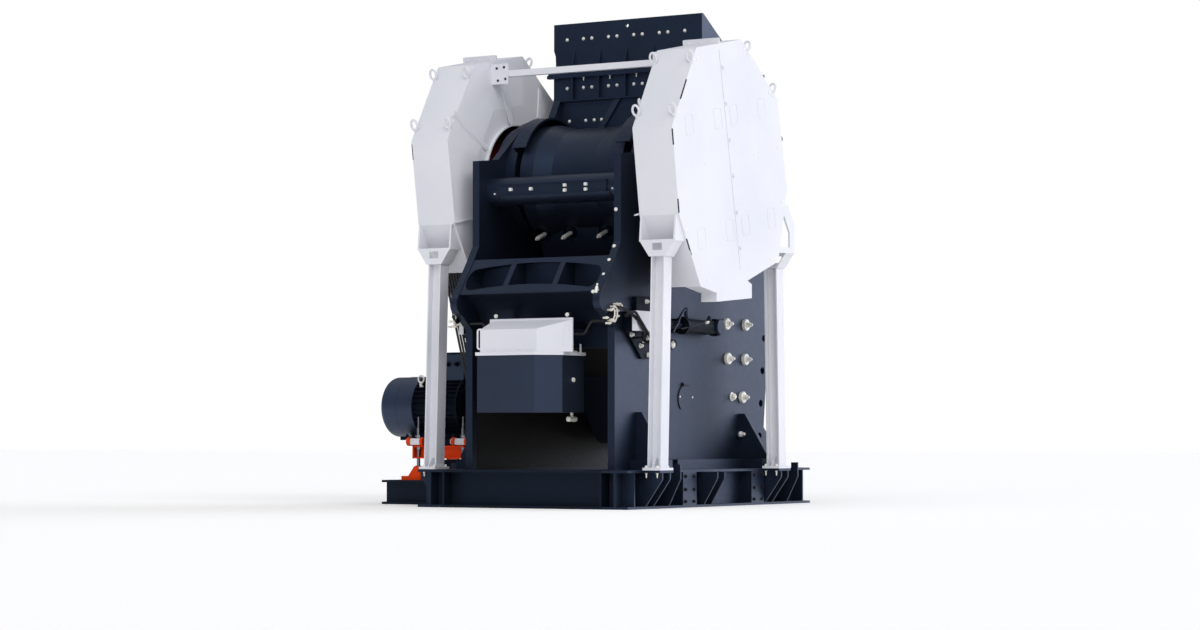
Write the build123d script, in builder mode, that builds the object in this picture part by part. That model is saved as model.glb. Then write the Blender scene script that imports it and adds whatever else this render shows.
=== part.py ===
from build123d import *
import math
import os

os.makedirs("parts", exist_ok=True)

# Jaw crusher with a fixed jaw at the front (+Y) and an overhead eccentric shaft, on its base frame.
# All sizes are in millimetres. +Z is up and +X is the right side. The origin is on the floor,
# at the centre of the base frame's anchor holes.

# Base frame
base_height = 380.0
base_half_width = 1231.0
base_half_length = 1939.0
beam_flange_width = 300.0
beam_flange_thickness = 25.0
beam_web_thickness = 20.0
inner_beam_width = 140.0
inner_beam_gap = 21.0
stiffener_thickness = 20.0
joint_overlap = 1.0
outrigger_reach = 190.0
gusset_reach = 157.0
gusset_knee_z = 290.0
lug_reach = 134.0
lug_width = 78.0
lug_rise = 60.0
lug_corner = 30.0
post_width = 278.0
post_plate_thickness = 24.0
rear_post_y = -708.0
front_post_y = 744.0
rear_gusset_y = -411.0
gusset_spacing = 150.0
rear_lug_inset = 811.0
front_lug_inset = 539.0
anchor_hole_radius = 24.0
anchor_edge = 45.0
anchor_inset = 289.0

# Side plates of the main frame
frame_half_inside = 800.0
side_plate_thickness = 80.0
plate_rear_y = -1595.0
plate_shoulder_y = -1473.0
plate_front_y = 1650.0
plate_lower_top_z = 1790.0
elbow_y = -1887.0
elbow_z = 2045.0
nose_y = -1794.0
nose_z = 1940.0
nose_bulge = 10.0
slope_low_z = 2498.0
slope_low_y = -1575.0
slope_high_z = 2650.0
shoulder_z = 3525.0
shoulder_corner = 60.0
roof_start_y = -1115.0
roof_bend_y = -660.0
roof_bend_z = 3925.0
roof_top_z = 4020.0
ear_y = 105.0
ear_z = 4300.0
ear_step_reach = 70.0
ear_step_drop = 35.0
ear_foot_reach = 225.0
roof_end_inset = 165.0
roof_end_rise = 10.0
elbow_share = 0.12
elbow_end_share = 0.05
frame_top = 4070.0
notch_z = 814.0
notch_depth = 110.0
skirt_z = 739.0
front_hole_width = 90.0
front_hole_height = 76.0
front_hole_count = 4
front_hole_low_z = 720.0
front_hole_high_z = 1770.0
front_hole_edge = 48.0

# Feet of the side plates
foot_rail_height = 100.0
foot_rail_width = 120.0
foot_rail_rear_y = -546.0
foot_rail_front_y = 1698.0
rear_brace_y = -1154.0
front_brace_y = 1014.0
brace_top_z = 955.0
brace_top_width = 67.0
brace_reach = 330.0
brace_toe = 45.0
brace_thickness = 60.0
foot_block_length = 260.0

# Shaft, bearings and flywheels
shaft_y = -410.0
shaft_z = 3380.0
eccentric_throw = 20.0
journal_radius = 210.0
eccentric_radius = 250.0
running_clearance = 0.3
seat_clearance = 0.3
housing_inner_x = 685.0
housing_inner_radius = 575.0
housing_neck_radius = 480.0
housing_flange_radius = 580.0
housing_flange_thickness = 50.0
housing_cap_radius = 430.0
housing_outer_x = 1010.0
housing_edge = 12.0
hood_gap = 27.0
hood_thickness = 20.0
hood_inner_x = 541.0
hood_end_angle = 28.0
flywheel_radius = 1025.0
flywheel_inner_x = 1180.0
flywheel_width = 300.0
flywheel_seat_radius = 200.0
flywheel_rim = 190.0
flywheel_web = 110.0
flywheel_hub_radius = 340.0
flywheel_hole_radius = 120.0
flywheel_hole_count = 6
shaft_end_reach = 20.0

# Swing jaw, jaw plates and toggle plate
jaw_tilt = 21.0
jaw_seat_forward = 280.0
jaw_plate_thickness = 140.0
jaw_tooth_height = 48.0
jaw_tooth_count = 12
tooth_root_share = 0.12
tooth_tip_share = 0.38
jaw_plate_gap = 10.0
plate_top_down = 535.0
plate_bottom_down = 2955.0
barrel_end_radius = 600.0
barrel_waist_radius = 552.0
barrel_half_length = 606.0
barrel_flare_x = 450.0
barrel_waist_x = 250.0
barrel_corner = 18.0
swing_half_width = 700.0
swing_back_forward = -404.0
swing_back_down = 1000.0
swing_waist_forward = -230.0
swing_waist_down = 1850.0
swing_foot_forward = 60.0
swing_foot_down = 2900.0
swing_pocket_depth = 210.0
swing_rib_count = 4
swing_rib_thickness = 70.0
swing_pocket_slope = 200.0
jaw_bolt_recess_radius = 90.0
jaw_bolt_recess_depth = 30.0
jaw_bolt_radius = 19.0
jaw_bolt_reach = 153.0
jaw_bolt_down = 425.0
inner_jaw_bolt_x = 213.0
outer_jaw_bolt_x = 530.0
toggle_thickness = 110.0
toggle_end_radius = 60.0
toggle_half_width = 600.0
toggle_seat_y = 150.0
toggle_seat_z = 1400.0
toggle_back_y = -880.0
toggle_back_z = 1760.0
toggle_open_gap = 35.0
toggle_seat_height = 240.0

# Fixed jaw, front wall and cheek plates
fixed_face_y = 1242.0
fixed_face_z = 750.0
fixed_tilt = 4.5
fixed_plate_height = 2650.0
fixed_plate_thickness = 130.0
cheek_thickness = 50.0
cheek_top_z = 3530.0
front_wall_thickness = 70.0
front_wall_rib_count = 4
front_wall_rib_thickness = 50.0
front_wall_shelf_count = 4

# Rear casting, toggle beam and cross tube
casting_top_z = 2505.0
casting_top_y = -1560.0
casting_nose_y = -1835.0
casting_nose_z = 2140.0
casting_low_z = 1830.0
casting_low_y = -1400.0
casting_front_y = -1340.0
casting_hood_sag = 55.0
casting_arch_radius = 4900.0
pocket_low_z = 2170.0
pocket_high_z = 2395.0
pocket_half_width = 780.0
pocket_corner = 90.0
pocket_rib_x = 290.0
pocket_rib_thickness = 60.0
pocket_back_wall = 90.0
toggle_beam_half_width = 790.0
toggle_beam_front_y = -950.0
toggle_beam_low_z = 1600.0
toggle_beam_high_z = 1990.0
tube_y = -1195.0
tube_z = 3220.0
tube_radius = 145.0
tray_half_length = 640.0
tray_low_z = 3165.0
tray_high_z = 3285.0
tray_rear_y = -1365.0
tray_wall = 12.0

# Feed hopper
hopper_half_width = 908.0
hopper_wall = 40.0
hopper_rear_y = 142.0
hopper_front_y = 1400.0
hopper_skirt_z = 3790.0
hopper_flange_z = 4567.0
hopper_flange_thickness = 33.0
hopper_flange_reach = 44.0
hopper_ledge_z = 4280.0
hopper_ledge_depth = 52.0
hopper_rib_pitch = 325.0
hopper_rib_count = 5
hopper_rib_thickness = 16.0
upper_wall = 30.0
upper_half_width = 906.0
upper_foot_half_width = 848.0
upper_foot_z = 4673.0
upper_bend_z = 4834.0
hopper_top = 5117.0
board_slope = 30.0
board_end_z = 4604.0
board_thickness = 16.0
lifting_hole_radius = 20.0
lifting_hole_drop = 67.0

# Flywheel guards, legs and cross beam
guard_rim_x = 1095.0
guard_outer_x = 1545.0
guard_collar_x = 1030.0
guard_sheet = 10.0
guard_window_radius = 617.0
guard_window_z = 3370.0
guard_collar_depth = 30.0
guard_panel_share = 0.62
sleeve_inner_x = 1366.0
sleeve_rear_y = -712.0
sleeve_front_y = 31.0
sleeve_rear_z = 2059.0
sleeve_front_z = 2125.0
sleeve_rear_top_z = 2147.0
sleeve_front_top_z = 2267.0
leg_x = 1322.0
leg_size = 150.0
leg_sheet = 14.0
rear_leg_top_y = -1437.0
rear_leg_foot_y = -1512.0
front_leg_top_y = 931.0
front_leg_foot_y = 990.0
leg_top_z = 2480.0
head_top_z = 2645.0
head_half_width = 203.0
head_foot_half_width = 91.0
head_depth = 180.0
head_window_half_width = 55.0
head_window_height = 70.0
leg_plate_width = 200.0
leg_plate_length = 260.0
leg_plate_thickness = 18.0
leg_gusset_height = 95.0
cradle_thickness = 20.0
rear_cradle_top_y = -1500.0
rear_cradle_top_z = 2888.0
front_cradle_top_y = 874.0
front_cradle_top_z = 3128.0
front_cradle_bend_z = 2952.0
front_cradle_strip = 105.0
front_window_top_z = 3045.0
front_window_low_z = 2690.0
tie_beam_size = 65.0
tie_beam_y = -780.0
tie_beam_z = 4495.0
tie_plate_size = 215.0
tie_plate_thickness = 12.0

# Service box behind the machine
box_left_x = -475.0
box_facet_x = 200.0
box_right_x = 400.0
box_rear_y = -2000.0
box_facet_y = -1800.0
box_front_y = -1390.0
box_low_z = 950.0
box_high_z = 1517.0
ledge_thickness = 33.0
ledge_reach = 14.0
lid_left_x = -450.0
lid_facet_x = 217.0
lid_eave_z = 1770.0
lid_roof_z = 1870.0
lid_inset = 14.0
back_plate_half_width = 487.0
back_plate_y = -1750.0
back_plate_z = 1888.0
back_plate_thickness = 16.0
hanger_x = 430.0
hanger_width = 90.0

# Setting cylinders
cylinder_x = 1000.0
cylinder_z = 1840.0
cylinder_radius = 70.0
cylinder_rear_y = -500.0
cylinder_front_y = 300.0
cylinder_rod_radius = 42.0
cylinder_rod_rear_y = -1070.0
block_rear_y = -1454.0
block_low_z = 1761.0
block_high_z = 1951.0
block_width = 170.0
cylinder_band_width = 60.0
hose_radius = 14.0
hose_bend_share = 0.45
hose_start_inset = 32.0
hose_start_z = 1728.0
hose_turn_y = -1640.0
hose_sag_x = 560.0
hose_rise_x = 640.0
hose_rise_z = 1855.0
loop_rear_y = -1560.0
loop_start_z = 1900.0
loop_top_z = 1960.0
loop_outer_x = 1082.0
loop_front_y = -1185.0
loop_low_z = 1655.0

# Motor, its tilting base and the drive
motor_y = -400.0
motor_z = 1030.0
cowl_radius = 320.0
cowl_end_x = -2572.0
cowl_length = 228.0
cowl_dome = 60.0
motor_radius = 318.0
motor_fin_count = 36
motor_fin_height = 30.0
motor_fin_thickness = 9.0
motor_front_x = -1560.0
motor_shaft_radius = 50.0
terminal_low_x = -1861.0
terminal_high_x = -1600.0
terminal_top_z = 1592.0
terminal_half_depth = 150.0
motor_feet_z = 675.0
motor_foot_height = 40.0
motor_feet_half_depth = 305.0
tilt_plate_thickness = 60.0
tilt_rear_y = -830.0
tilt_front_y = 20.0
tilt_left_x = -2130.0
tilt_right_x = -1400.0
tilt_lug_thickness = 40.0
tilt_rod_left_x = -1995.0
tilt_rod_right_x = -1430.0
tilt_rod_radius = 18.0
tilt_rod_rise = 120.0
tilt_pin_radius = 35.0
pulley_radius = 205.0
belt_count = 8
belt_pitch = 34.0
belt_width = 22.0
belt_height = 18.0
belt_taper = 5.0
belt_clearance = 4.0
motor_beam_height = 255.0
motor_beam_width = 200.0
motor_beam_end_x = -2350.0
rear_motor_beam_y = -880.0
front_motor_beam_y = 80.0


def save(piece, name):
    piece.part.label = name
    export_step(piece.part, "parts/" + name + ".step")


def i_section(width, height, flange, web):
    """Upright I section whose bottom edge lies on the sketch's x axis."""
    with Locations((0, flange / 2), (0, height - flange / 2)):
        Rectangle(width, flange)
    with Locations((0, height / 2)):
        Rectangle(web, height - 2 * flange + 2 * joint_overlap)


def outline_face(*points):
    """A closed face through the given corners, in the sketch that is open."""
    Polygon(*points, align=None)


def bend_radius(route):
    """Largest even bend of a hose: 0.45 of the shorter run over the tangent of half the turn."""
    radii = []
    for before, corner, after in zip(route, route[1:], route[2:]):
        run_in = Vector(*corner) - Vector(*before)
        run_out = Vector(*after) - Vector(*corner)
        half_turn = math.radians(run_in.get_angle(run_out)) / 2
        radii.append(hose_bend_share * min(run_in.length, run_out.length) / math.tan(half_turn))
    return min(radii)


sides = (("left", -1), ("right", 1))
beam_x = base_half_width - beam_flange_width / 2
beam_inner_x = base_half_width - beam_flange_width
web_inside_z = beam_flange_thickness
web_top_z = base_height - beam_flange_thickness
anchor_spacing_x = 2 * (base_half_width - anchor_edge)
anchor_spacing_y = 2 * (base_half_length - anchor_inset)
rear_lug_y = rear_lug_inset - base_half_length
front_lug_y = base_half_length - front_lug_inset

# Side beams of the base: an I section along Y with gussets, lifting lugs and bolted posts outside
rear_leg_gussets = (rear_leg_foot_y - gusset_spacing / 2, rear_leg_foot_y + gusset_spacing / 2)
front_leg_gussets = (front_leg_foot_y - gusset_spacing / 2, front_leg_foot_y + gusset_spacing / 2)
middle_gussets = (rear_gusset_y, rear_gusset_y + gusset_spacing)
gusset_rows = [(y, outrigger_reach) for y in rear_leg_gussets + front_leg_gussets]
gusset_rows += [(y, gusset_reach) for y in middle_gussets]
for side, sign in sides:
    with BuildPart() as side_beam:
        with BuildSketch(Plane.XZ.offset(base_half_length)):
            with Locations((sign * beam_x, 0)):
                i_section(beam_flange_width, base_height, beam_flange_thickness, beam_web_thickness)
        extrude(amount=-2 * base_half_length)
        for y, reach in gusset_rows:
            with BuildSketch(Plane.XZ.offset(-y)):
                outline_face(
                    (sign * beam_x, web_inside_z),
                    (sign * base_half_width, web_inside_z),
                    (sign * (base_half_width + reach), gusset_knee_z),
                    (sign * (base_half_width + reach), web_top_z),
                    (sign * beam_x, web_top_z),
                )
            extrude(amount=stiffener_thickness / 2, both=True)
        for y in (rear_lug_y, front_lug_y):
            lug_outer_x = base_half_width + lug_reach
            lug_top_z = base_height + lug_rise
            with BuildSketch(Plane.XZ.offset(-y)) as lug:
                outline_face(
                    (sign * beam_x, web_inside_z),
                    (sign * base_half_width, web_inside_z),
                    (sign * lug_outer_x, gusset_knee_z),
                    (sign * lug_outer_x, lug_top_z),
                    (sign * (lug_outer_x - lug_width), lug_top_z),
                    (sign * (lug_outer_x - lug_width), web_top_z),
                    (sign * beam_x, web_top_z),
                )
                fillet(lug.vertices().sort_by(Axis.Z)[-2:], radius=lug_corner)
            extrude(amount=stiffener_thickness / 2, both=True)
        for y in (rear_leg_foot_y, front_leg_foot_y):
            with BuildSketch(Plane.XY.offset(web_top_z)):
                with Locations((sign * (base_half_width + outrigger_reach / 2), y)):
                    Rectangle(outrigger_reach, leg_plate_length)
            extrude(amount=beam_flange_thickness)
        for y in (rear_post_y, front_post_y):
            post_depth = base_half_width - beam_x
            with BuildSketch(Plane.XY.offset(web_inside_z)):
                with Locations((sign * (base_half_width - post_plate_thickness / 2), y)):
                    Rectangle(post_plate_thickness, post_width)
                for edge in (-1, 1):
                    edge_y = y + edge * (post_width - stiffener_thickness) / 2
                    with Locations((sign * (beam_x + post_depth / 2), edge_y)):
                        Rectangle(post_depth, stiffener_thickness)
            extrude(amount=web_top_z - web_inside_z)
        for y in (-base_half_length + beam_flange_width / 2, base_half_length - beam_flange_width / 2):
            with BuildSketch(Plane.XZ.offset(-y)):
                with Locations((sign * beam_x, base_height / 2)):
                    Rectangle(beam_flange_width - stiffener_thickness, web_top_z - web_inside_z)
            extrude(amount=stiffener_thickness / 2, both=True)
        with BuildSketch(Plane.XY):
            with Locations(
                (sign * anchor_spacing_x / 2, -anchor_spacing_y / 2),
                (sign * anchor_spacing_x / 2, anchor_spacing_y / 2),
            ):
                Circle(anchor_hole_radius)
        extrude(amount=beam_flange_thickness, mode=Mode.SUBTRACT)
    save(side_beam, "base_side_beam_" + side)

# End beams of the base: an I section along X between the side beams, closed by a plate at each end
end_beam_y = base_half_length - beam_flange_width / 2
for name, end in (("base_rear_beam", -1), ("base_front_beam", 1)):
    with BuildPart() as end_beam:
        with BuildSketch(Plane.YZ.offset(-beam_inner_x)):
            with Locations((end * end_beam_y, 0)):
                i_section(beam_flange_width, base_height, beam_flange_thickness, beam_web_thickness)
        extrude(amount=2 * beam_inner_x)
        for edge in (-1, 1):
            with BuildSketch(Plane.YZ.offset(edge * beam_inner_x)):
                with Locations((end * end_beam_y, base_height / 2)):
                    Rectangle(beam_flange_width, base_height)
            extrude(amount=-edge * stiffener_thickness)
    save(end_beam, name)

# Two inner beams under the side plates, from end beam to end beam
inner_beam_x = beam_inner_x - inner_beam_gap - inner_beam_width / 2
inner_beam_end = base_half_length - beam_flange_width
with BuildPart() as inner_beams:
    with BuildSketch(Plane.XZ.offset(inner_beam_end)):
        for edge in (-1, 1):
            with Locations((edge * inner_beam_x, 0)):
                i_section(inner_beam_width, base_height, beam_flange_thickness, beam_web_thickness)
    extrude(amount=-2 * inner_beam_end)
save(inner_beams, "base_inner_beams")

# Motor base frame: two I beams out from the left side beam, tied at their outer ends
with BuildPart() as motor_base_frame:
    for y in (rear_motor_beam_y, front_motor_beam_y):
        with BuildSketch(Plane.YZ.offset(motor_beam_end_x)):
            with Locations((y, 0)):
                i_section(motor_beam_width, motor_beam_height, beam_flange_thickness, beam_web_thickness)
        extrude(amount=-base_half_width - motor_beam_end_x)
    with BuildSketch(Plane.XZ.offset(-rear_motor_beam_y - motor_beam_width / 2)):
        with Locations((motor_beam_end_x + motor_beam_width / 2, 0)):
            i_section(motor_beam_width, motor_beam_height, beam_flange_thickness, beam_web_thickness)
    extrude(amount=rear_motor_beam_y - front_motor_beam_y + motor_beam_width)
save(motor_base_frame, "motor_base_frame")

# Side plates of the main frame
hole_pitch = (front_hole_high_z - front_hole_low_z) / (front_hole_count - 1)


def plate_front_edge(z):
    """Front edge of the side plate at a height, above its notch."""
    share = (z - notch_z) / (plate_lower_top_z - notch_z)
    return plate_front_y - notch_depth * max(0.0, 1.0 - share)


for side, sign in sides:
    with BuildPart() as side_plate:
        with BuildSketch(Plane.YZ.offset(sign * frame_half_inside)) as plate_face:
            with BuildLine() as plate_line:
                bottom = Polyline(
                    (plate_front_y - housing_edge, base_height),
                    (plate_rear_y, base_height),
                    (plate_rear_y, plate_lower_top_z),
                    (nose_y, nose_z),
                )
                nose = ThreePointArc(
                    (nose_y, nose_z),
                    (elbow_y + elbow_share * (nose_y - elbow_y), (nose_z + elbow_z) / 2 + nose_bulge),
                    (
                        elbow_y + elbow_end_share * (slope_low_y - elbow_y),
                        elbow_z + elbow_share * (slope_low_z - elbow_z),
                    ),
                )
                back = Polyline(
                    nose @ 1,
                    (slope_low_y, slope_low_z),
                    (plate_shoulder_y, slope_high_z),
                    (plate_shoulder_y, shoulder_z),
                    (roof_start_y, shoulder_z + shoulder_corner * 2 / 3),
                    (roof_bend_y, roof_bend_z),
                )
                roof = ThreePointArc(
                    back @ 1,
                    (shaft_y, roof_top_z),
                    (ear_y - roof_end_inset, roof_top_z + roof_end_rise),
                )
                front = Polyline(
                    roof @ 1,
                    (ear_y, ear_z),
                    (ear_y + ear_step_reach, ear_z - ear_step_drop),
                    (ear_y + ear_foot_reach, frame_top),
                    (plate_front_y, frame_top),
                    (plate_front_y, plate_lower_top_z),
                    (plate_front_edge(notch_z), notch_z),
                    (plate_front_y - housing_edge, skirt_z),
                    (plate_front_y - housing_edge, base_height),
                )
            make_face()
            corner = plate_face.vertices().filter_by(lambda v: abs(v.Z - shoulder_z) < joint_overlap)
            fillet(corner, radius=shoulder_corner)
            with Locations((shaft_y, shaft_z)):
                Circle(housing_neck_radius + seat_clearance, mode=Mode.SUBTRACT)
            for i in range(front_hole_count):
                z = front_hole_low_z + i * hole_pitch
                edge_y = plate_front_edge(max(z, notch_z)) - front_hole_edge - front_hole_width / 2
                with Locations((edge_y, z)):
                    Ellipse(front_hole_width / 2, front_hole_height / 2, mode=Mode.SUBTRACT)
        extrude(amount=sign * side_plate_thickness)
    save(side_plate, "side_plate_" + side)

# Feet of the side plates: a long rail, and two upright braces with a block under each
plate_outer_x = frame_half_inside + side_plate_thickness
rail_top_z = base_height + foot_rail_height
for side, sign in sides:
    with BuildPart() as side_foot:
        with BuildSketch(Plane.XY.offset(base_height)):
            with Locations(
                (sign * (plate_outer_x + foot_rail_width / 2), (foot_rail_rear_y + foot_rail_front_y) / 2)
            ):
                Rectangle(foot_rail_width, foot_rail_front_y - foot_rail_rear_y)
        extrude(amount=foot_rail_height)
        for y in (rear_brace_y, front_brace_y):
            with BuildSketch(Plane.XZ.offset(-y)):
                outline_face(
                    (sign * plate_outer_x, base_height),
                    (sign * (plate_outer_x + brace_reach), base_height),
                    (sign * (plate_outer_x + brace_reach), rail_top_z + brace_toe),
                    (sign * (plate_outer_x + brace_top_width), brace_top_z),
                    (sign * plate_outer_x, brace_top_z),
                )
            extrude(amount=brace_thickness / 2, both=True)
            with BuildSketch(Plane.XY.offset(base_height)):
                with Locations((sign * (plate_outer_x + brace_reach / 2), y)):
                    Rectangle(brace_reach, foot_block_length)
            extrude(amount=foot_rail_height)
    save(side_foot, "side_foot_" + side)

# Directions of the jaw in the side view
tilt = math.radians(jaw_tilt)
forward_y, forward_z = math.cos(tilt), math.sin(tilt)
down_y, down_z = math.sin(tilt), -math.cos(tilt)
hang_y = shaft_y
hang_z = shaft_z - eccentric_throw


def jaw_point(forward, down):
    """Side-view place from the eccentric's centre: forward of it and down along the jaw."""
    y = hang_y + forward * forward_y + down * down_y
    z = hang_z + forward * forward_z + down * down_z
    return (y, z)


def jaw_plate_outline(half_width, thickness):
    """End view of a corrugated jaw plate, flat back at the bottom and teeth on top."""
    pitch = 2 * half_width / jaw_tooth_count
    root = thickness - jaw_tooth_height
    points = [(half_width, 0), (-half_width, 0), (-half_width, root)]
    for i in range(jaw_tooth_count):
        x = -half_width + i * pitch
        points.append((x + tooth_root_share * pitch, root))
        points.append((x + tooth_tip_share * pitch, thickness))
        points.append((x + (1 - tooth_tip_share) * pitch, thickness))
        points.append((x + (1 - tooth_root_share) * pitch, root))
    points.append((half_width, root))
    return points


# Moving jaw plate: a corrugated casting on the front of the swing jaw
cheek_face_x = frame_half_inside - cheek_thickness
moving_half_width = cheek_face_x - jaw_plate_gap
foot_y, foot_z = jaw_point(jaw_seat_forward, plate_bottom_down)
with BuildPart() as moving_jaw_plate:
    with BuildSketch(Plane(origin=(0, foot_y, foot_z), x_dir=(1, 0, 0), z_dir=(0, -down_y, -down_z))):
        outline_face(*jaw_plate_outline(moving_half_width, jaw_plate_thickness))
    extrude(amount=plate_bottom_down - plate_top_down)
save(moving_jaw_plate, "moving_jaw_plate")

# Fixed jaw plate: the same kind of casting on the front wall, facing the moving one
lean = math.radians(fixed_tilt)
fixed_half_width = cheek_face_x - seat_clearance
fixed_back_y = fixed_face_y + fixed_plate_thickness * math.cos(lean)
fixed_back_z = fixed_face_z - fixed_plate_thickness * math.sin(lean)
with BuildPart() as fixed_jaw_plate:
    with BuildSketch(
        Plane(origin=(0, fixed_back_y, fixed_back_z), x_dir=(-1, 0, 0), z_dir=(0, math.sin(lean), math.cos(lean)))
    ):
        outline_face(*jaw_plate_outline(fixed_half_width, fixed_plate_thickness))
    extrude(amount=fixed_plate_height)
save(fixed_jaw_plate, "fixed_jaw_plate")


def wall_seat_y(z):
    """Where the front wall's sloping inner face lies at a height."""
    return fixed_back_y + (z - fixed_back_z) * math.tan(lean)


# Front wall: the sloping plate behind the fixed jaw, with upright ribs and level shelves outside
wall_low_z = fixed_face_z - fixed_plate_thickness
wall_high_z = frame_top
rib_reach_y = plate_front_y - housing_edge
with BuildPart() as front_wall:
    with BuildSketch(Plane.YZ.offset(-frame_half_inside)):
        outline_face(
            (wall_seat_y(wall_low_z), wall_low_z),
            (wall_seat_y(wall_high_z), wall_high_z),
            (wall_seat_y(wall_high_z) + front_wall_thickness, wall_high_z),
            (wall_seat_y(wall_low_z) + front_wall_thickness, wall_low_z),
        )
    extrude(amount=2 * frame_half_inside)
    rib_pitch = 2 * frame_half_inside / (front_wall_rib_count + 1)
    for i in range(front_wall_rib_count):
        with BuildSketch(Plane.YZ.offset(-frame_half_inside + (i + 1) * rib_pitch)):
            outline_face(
                (wall_seat_y(wall_low_z) + front_wall_thickness / 2, wall_low_z),
                (rib_reach_y - notch_depth, notch_z),
                (rib_reach_y, plate_lower_top_z),
                (rib_reach_y, wall_high_z - 2 * front_wall_thickness),
                (wall_seat_y(wall_high_z) + front_wall_thickness / 2, wall_high_z),
            )
        extrude(amount=front_wall_rib_thickness / 2, both=True)
    shelf_pitch = (wall_high_z - plate_lower_top_z) / front_wall_shelf_count
    for i in range(front_wall_shelf_count):
        z = plate_lower_top_z + i * shelf_pitch
        shelf_start_y = wall_seat_y(z) + front_wall_thickness / 2
        with BuildSketch(Plane.XY.offset(z)):
            with Locations((0, (shelf_start_y + rib_reach_y) / 2)):
                Rectangle(2 * frame_half_inside, rib_reach_y - shelf_start_y)
        extrude(amount=front_wall_rib_thickness)
save(front_wall, "front_wall")

# Cheek plates: wear plates on the inside of the side plates, between the two jaws
cheek_rear_gap = eccentric_throw + jaw_plate_gap
for side, sign in sides:
    with BuildPart() as cheek_plate:
        with BuildSketch(Plane.YZ.offset(sign * frame_half_inside)):
            face_forward = jaw_seat_forward - cheek_rear_gap
            low_y, low_z = jaw_point(face_forward, plate_bottom_down - jaw_plate_thickness)
            high_y, high_z = jaw_point(face_forward, plate_top_down + 3 * jaw_plate_thickness)
            outline_face(
                (low_y, low_z),
                (wall_seat_y(low_z) - seat_clearance, low_z),
                (wall_seat_y(cheek_top_z) - seat_clearance, cheek_top_z),
                (shaft_y + barrel_end_radius + 4 * cheek_rear_gap, cheek_top_z),
                (shaft_y + barrel_end_radius + 3 * cheek_rear_gap, high_z + barrel_end_radius / 2),
                (high_y, high_z),
            )
        extrude(amount=-sign * cheek_thickness)
    save(cheek_plate, "cheek_plate_" + side)

toggle_run_y = toggle_seat_y - toggle_back_y
toggle_run_z = toggle_seat_z - toggle_back_z
toggle_length = math.hypot(toggle_run_y, toggle_run_z)
along_y, along_z = toggle_run_y / toggle_length, toggle_run_z / toggle_length
toggle_angle = math.degrees(math.atan2(along_z, along_y))
toggle_mouth_length = 6 * toggle_end_radius
toggle_mouth = (
    toggle_seat_y - along_y * toggle_mouth_length / 2,
    toggle_seat_z - along_z * toggle_mouth_length / 2,
)

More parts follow.
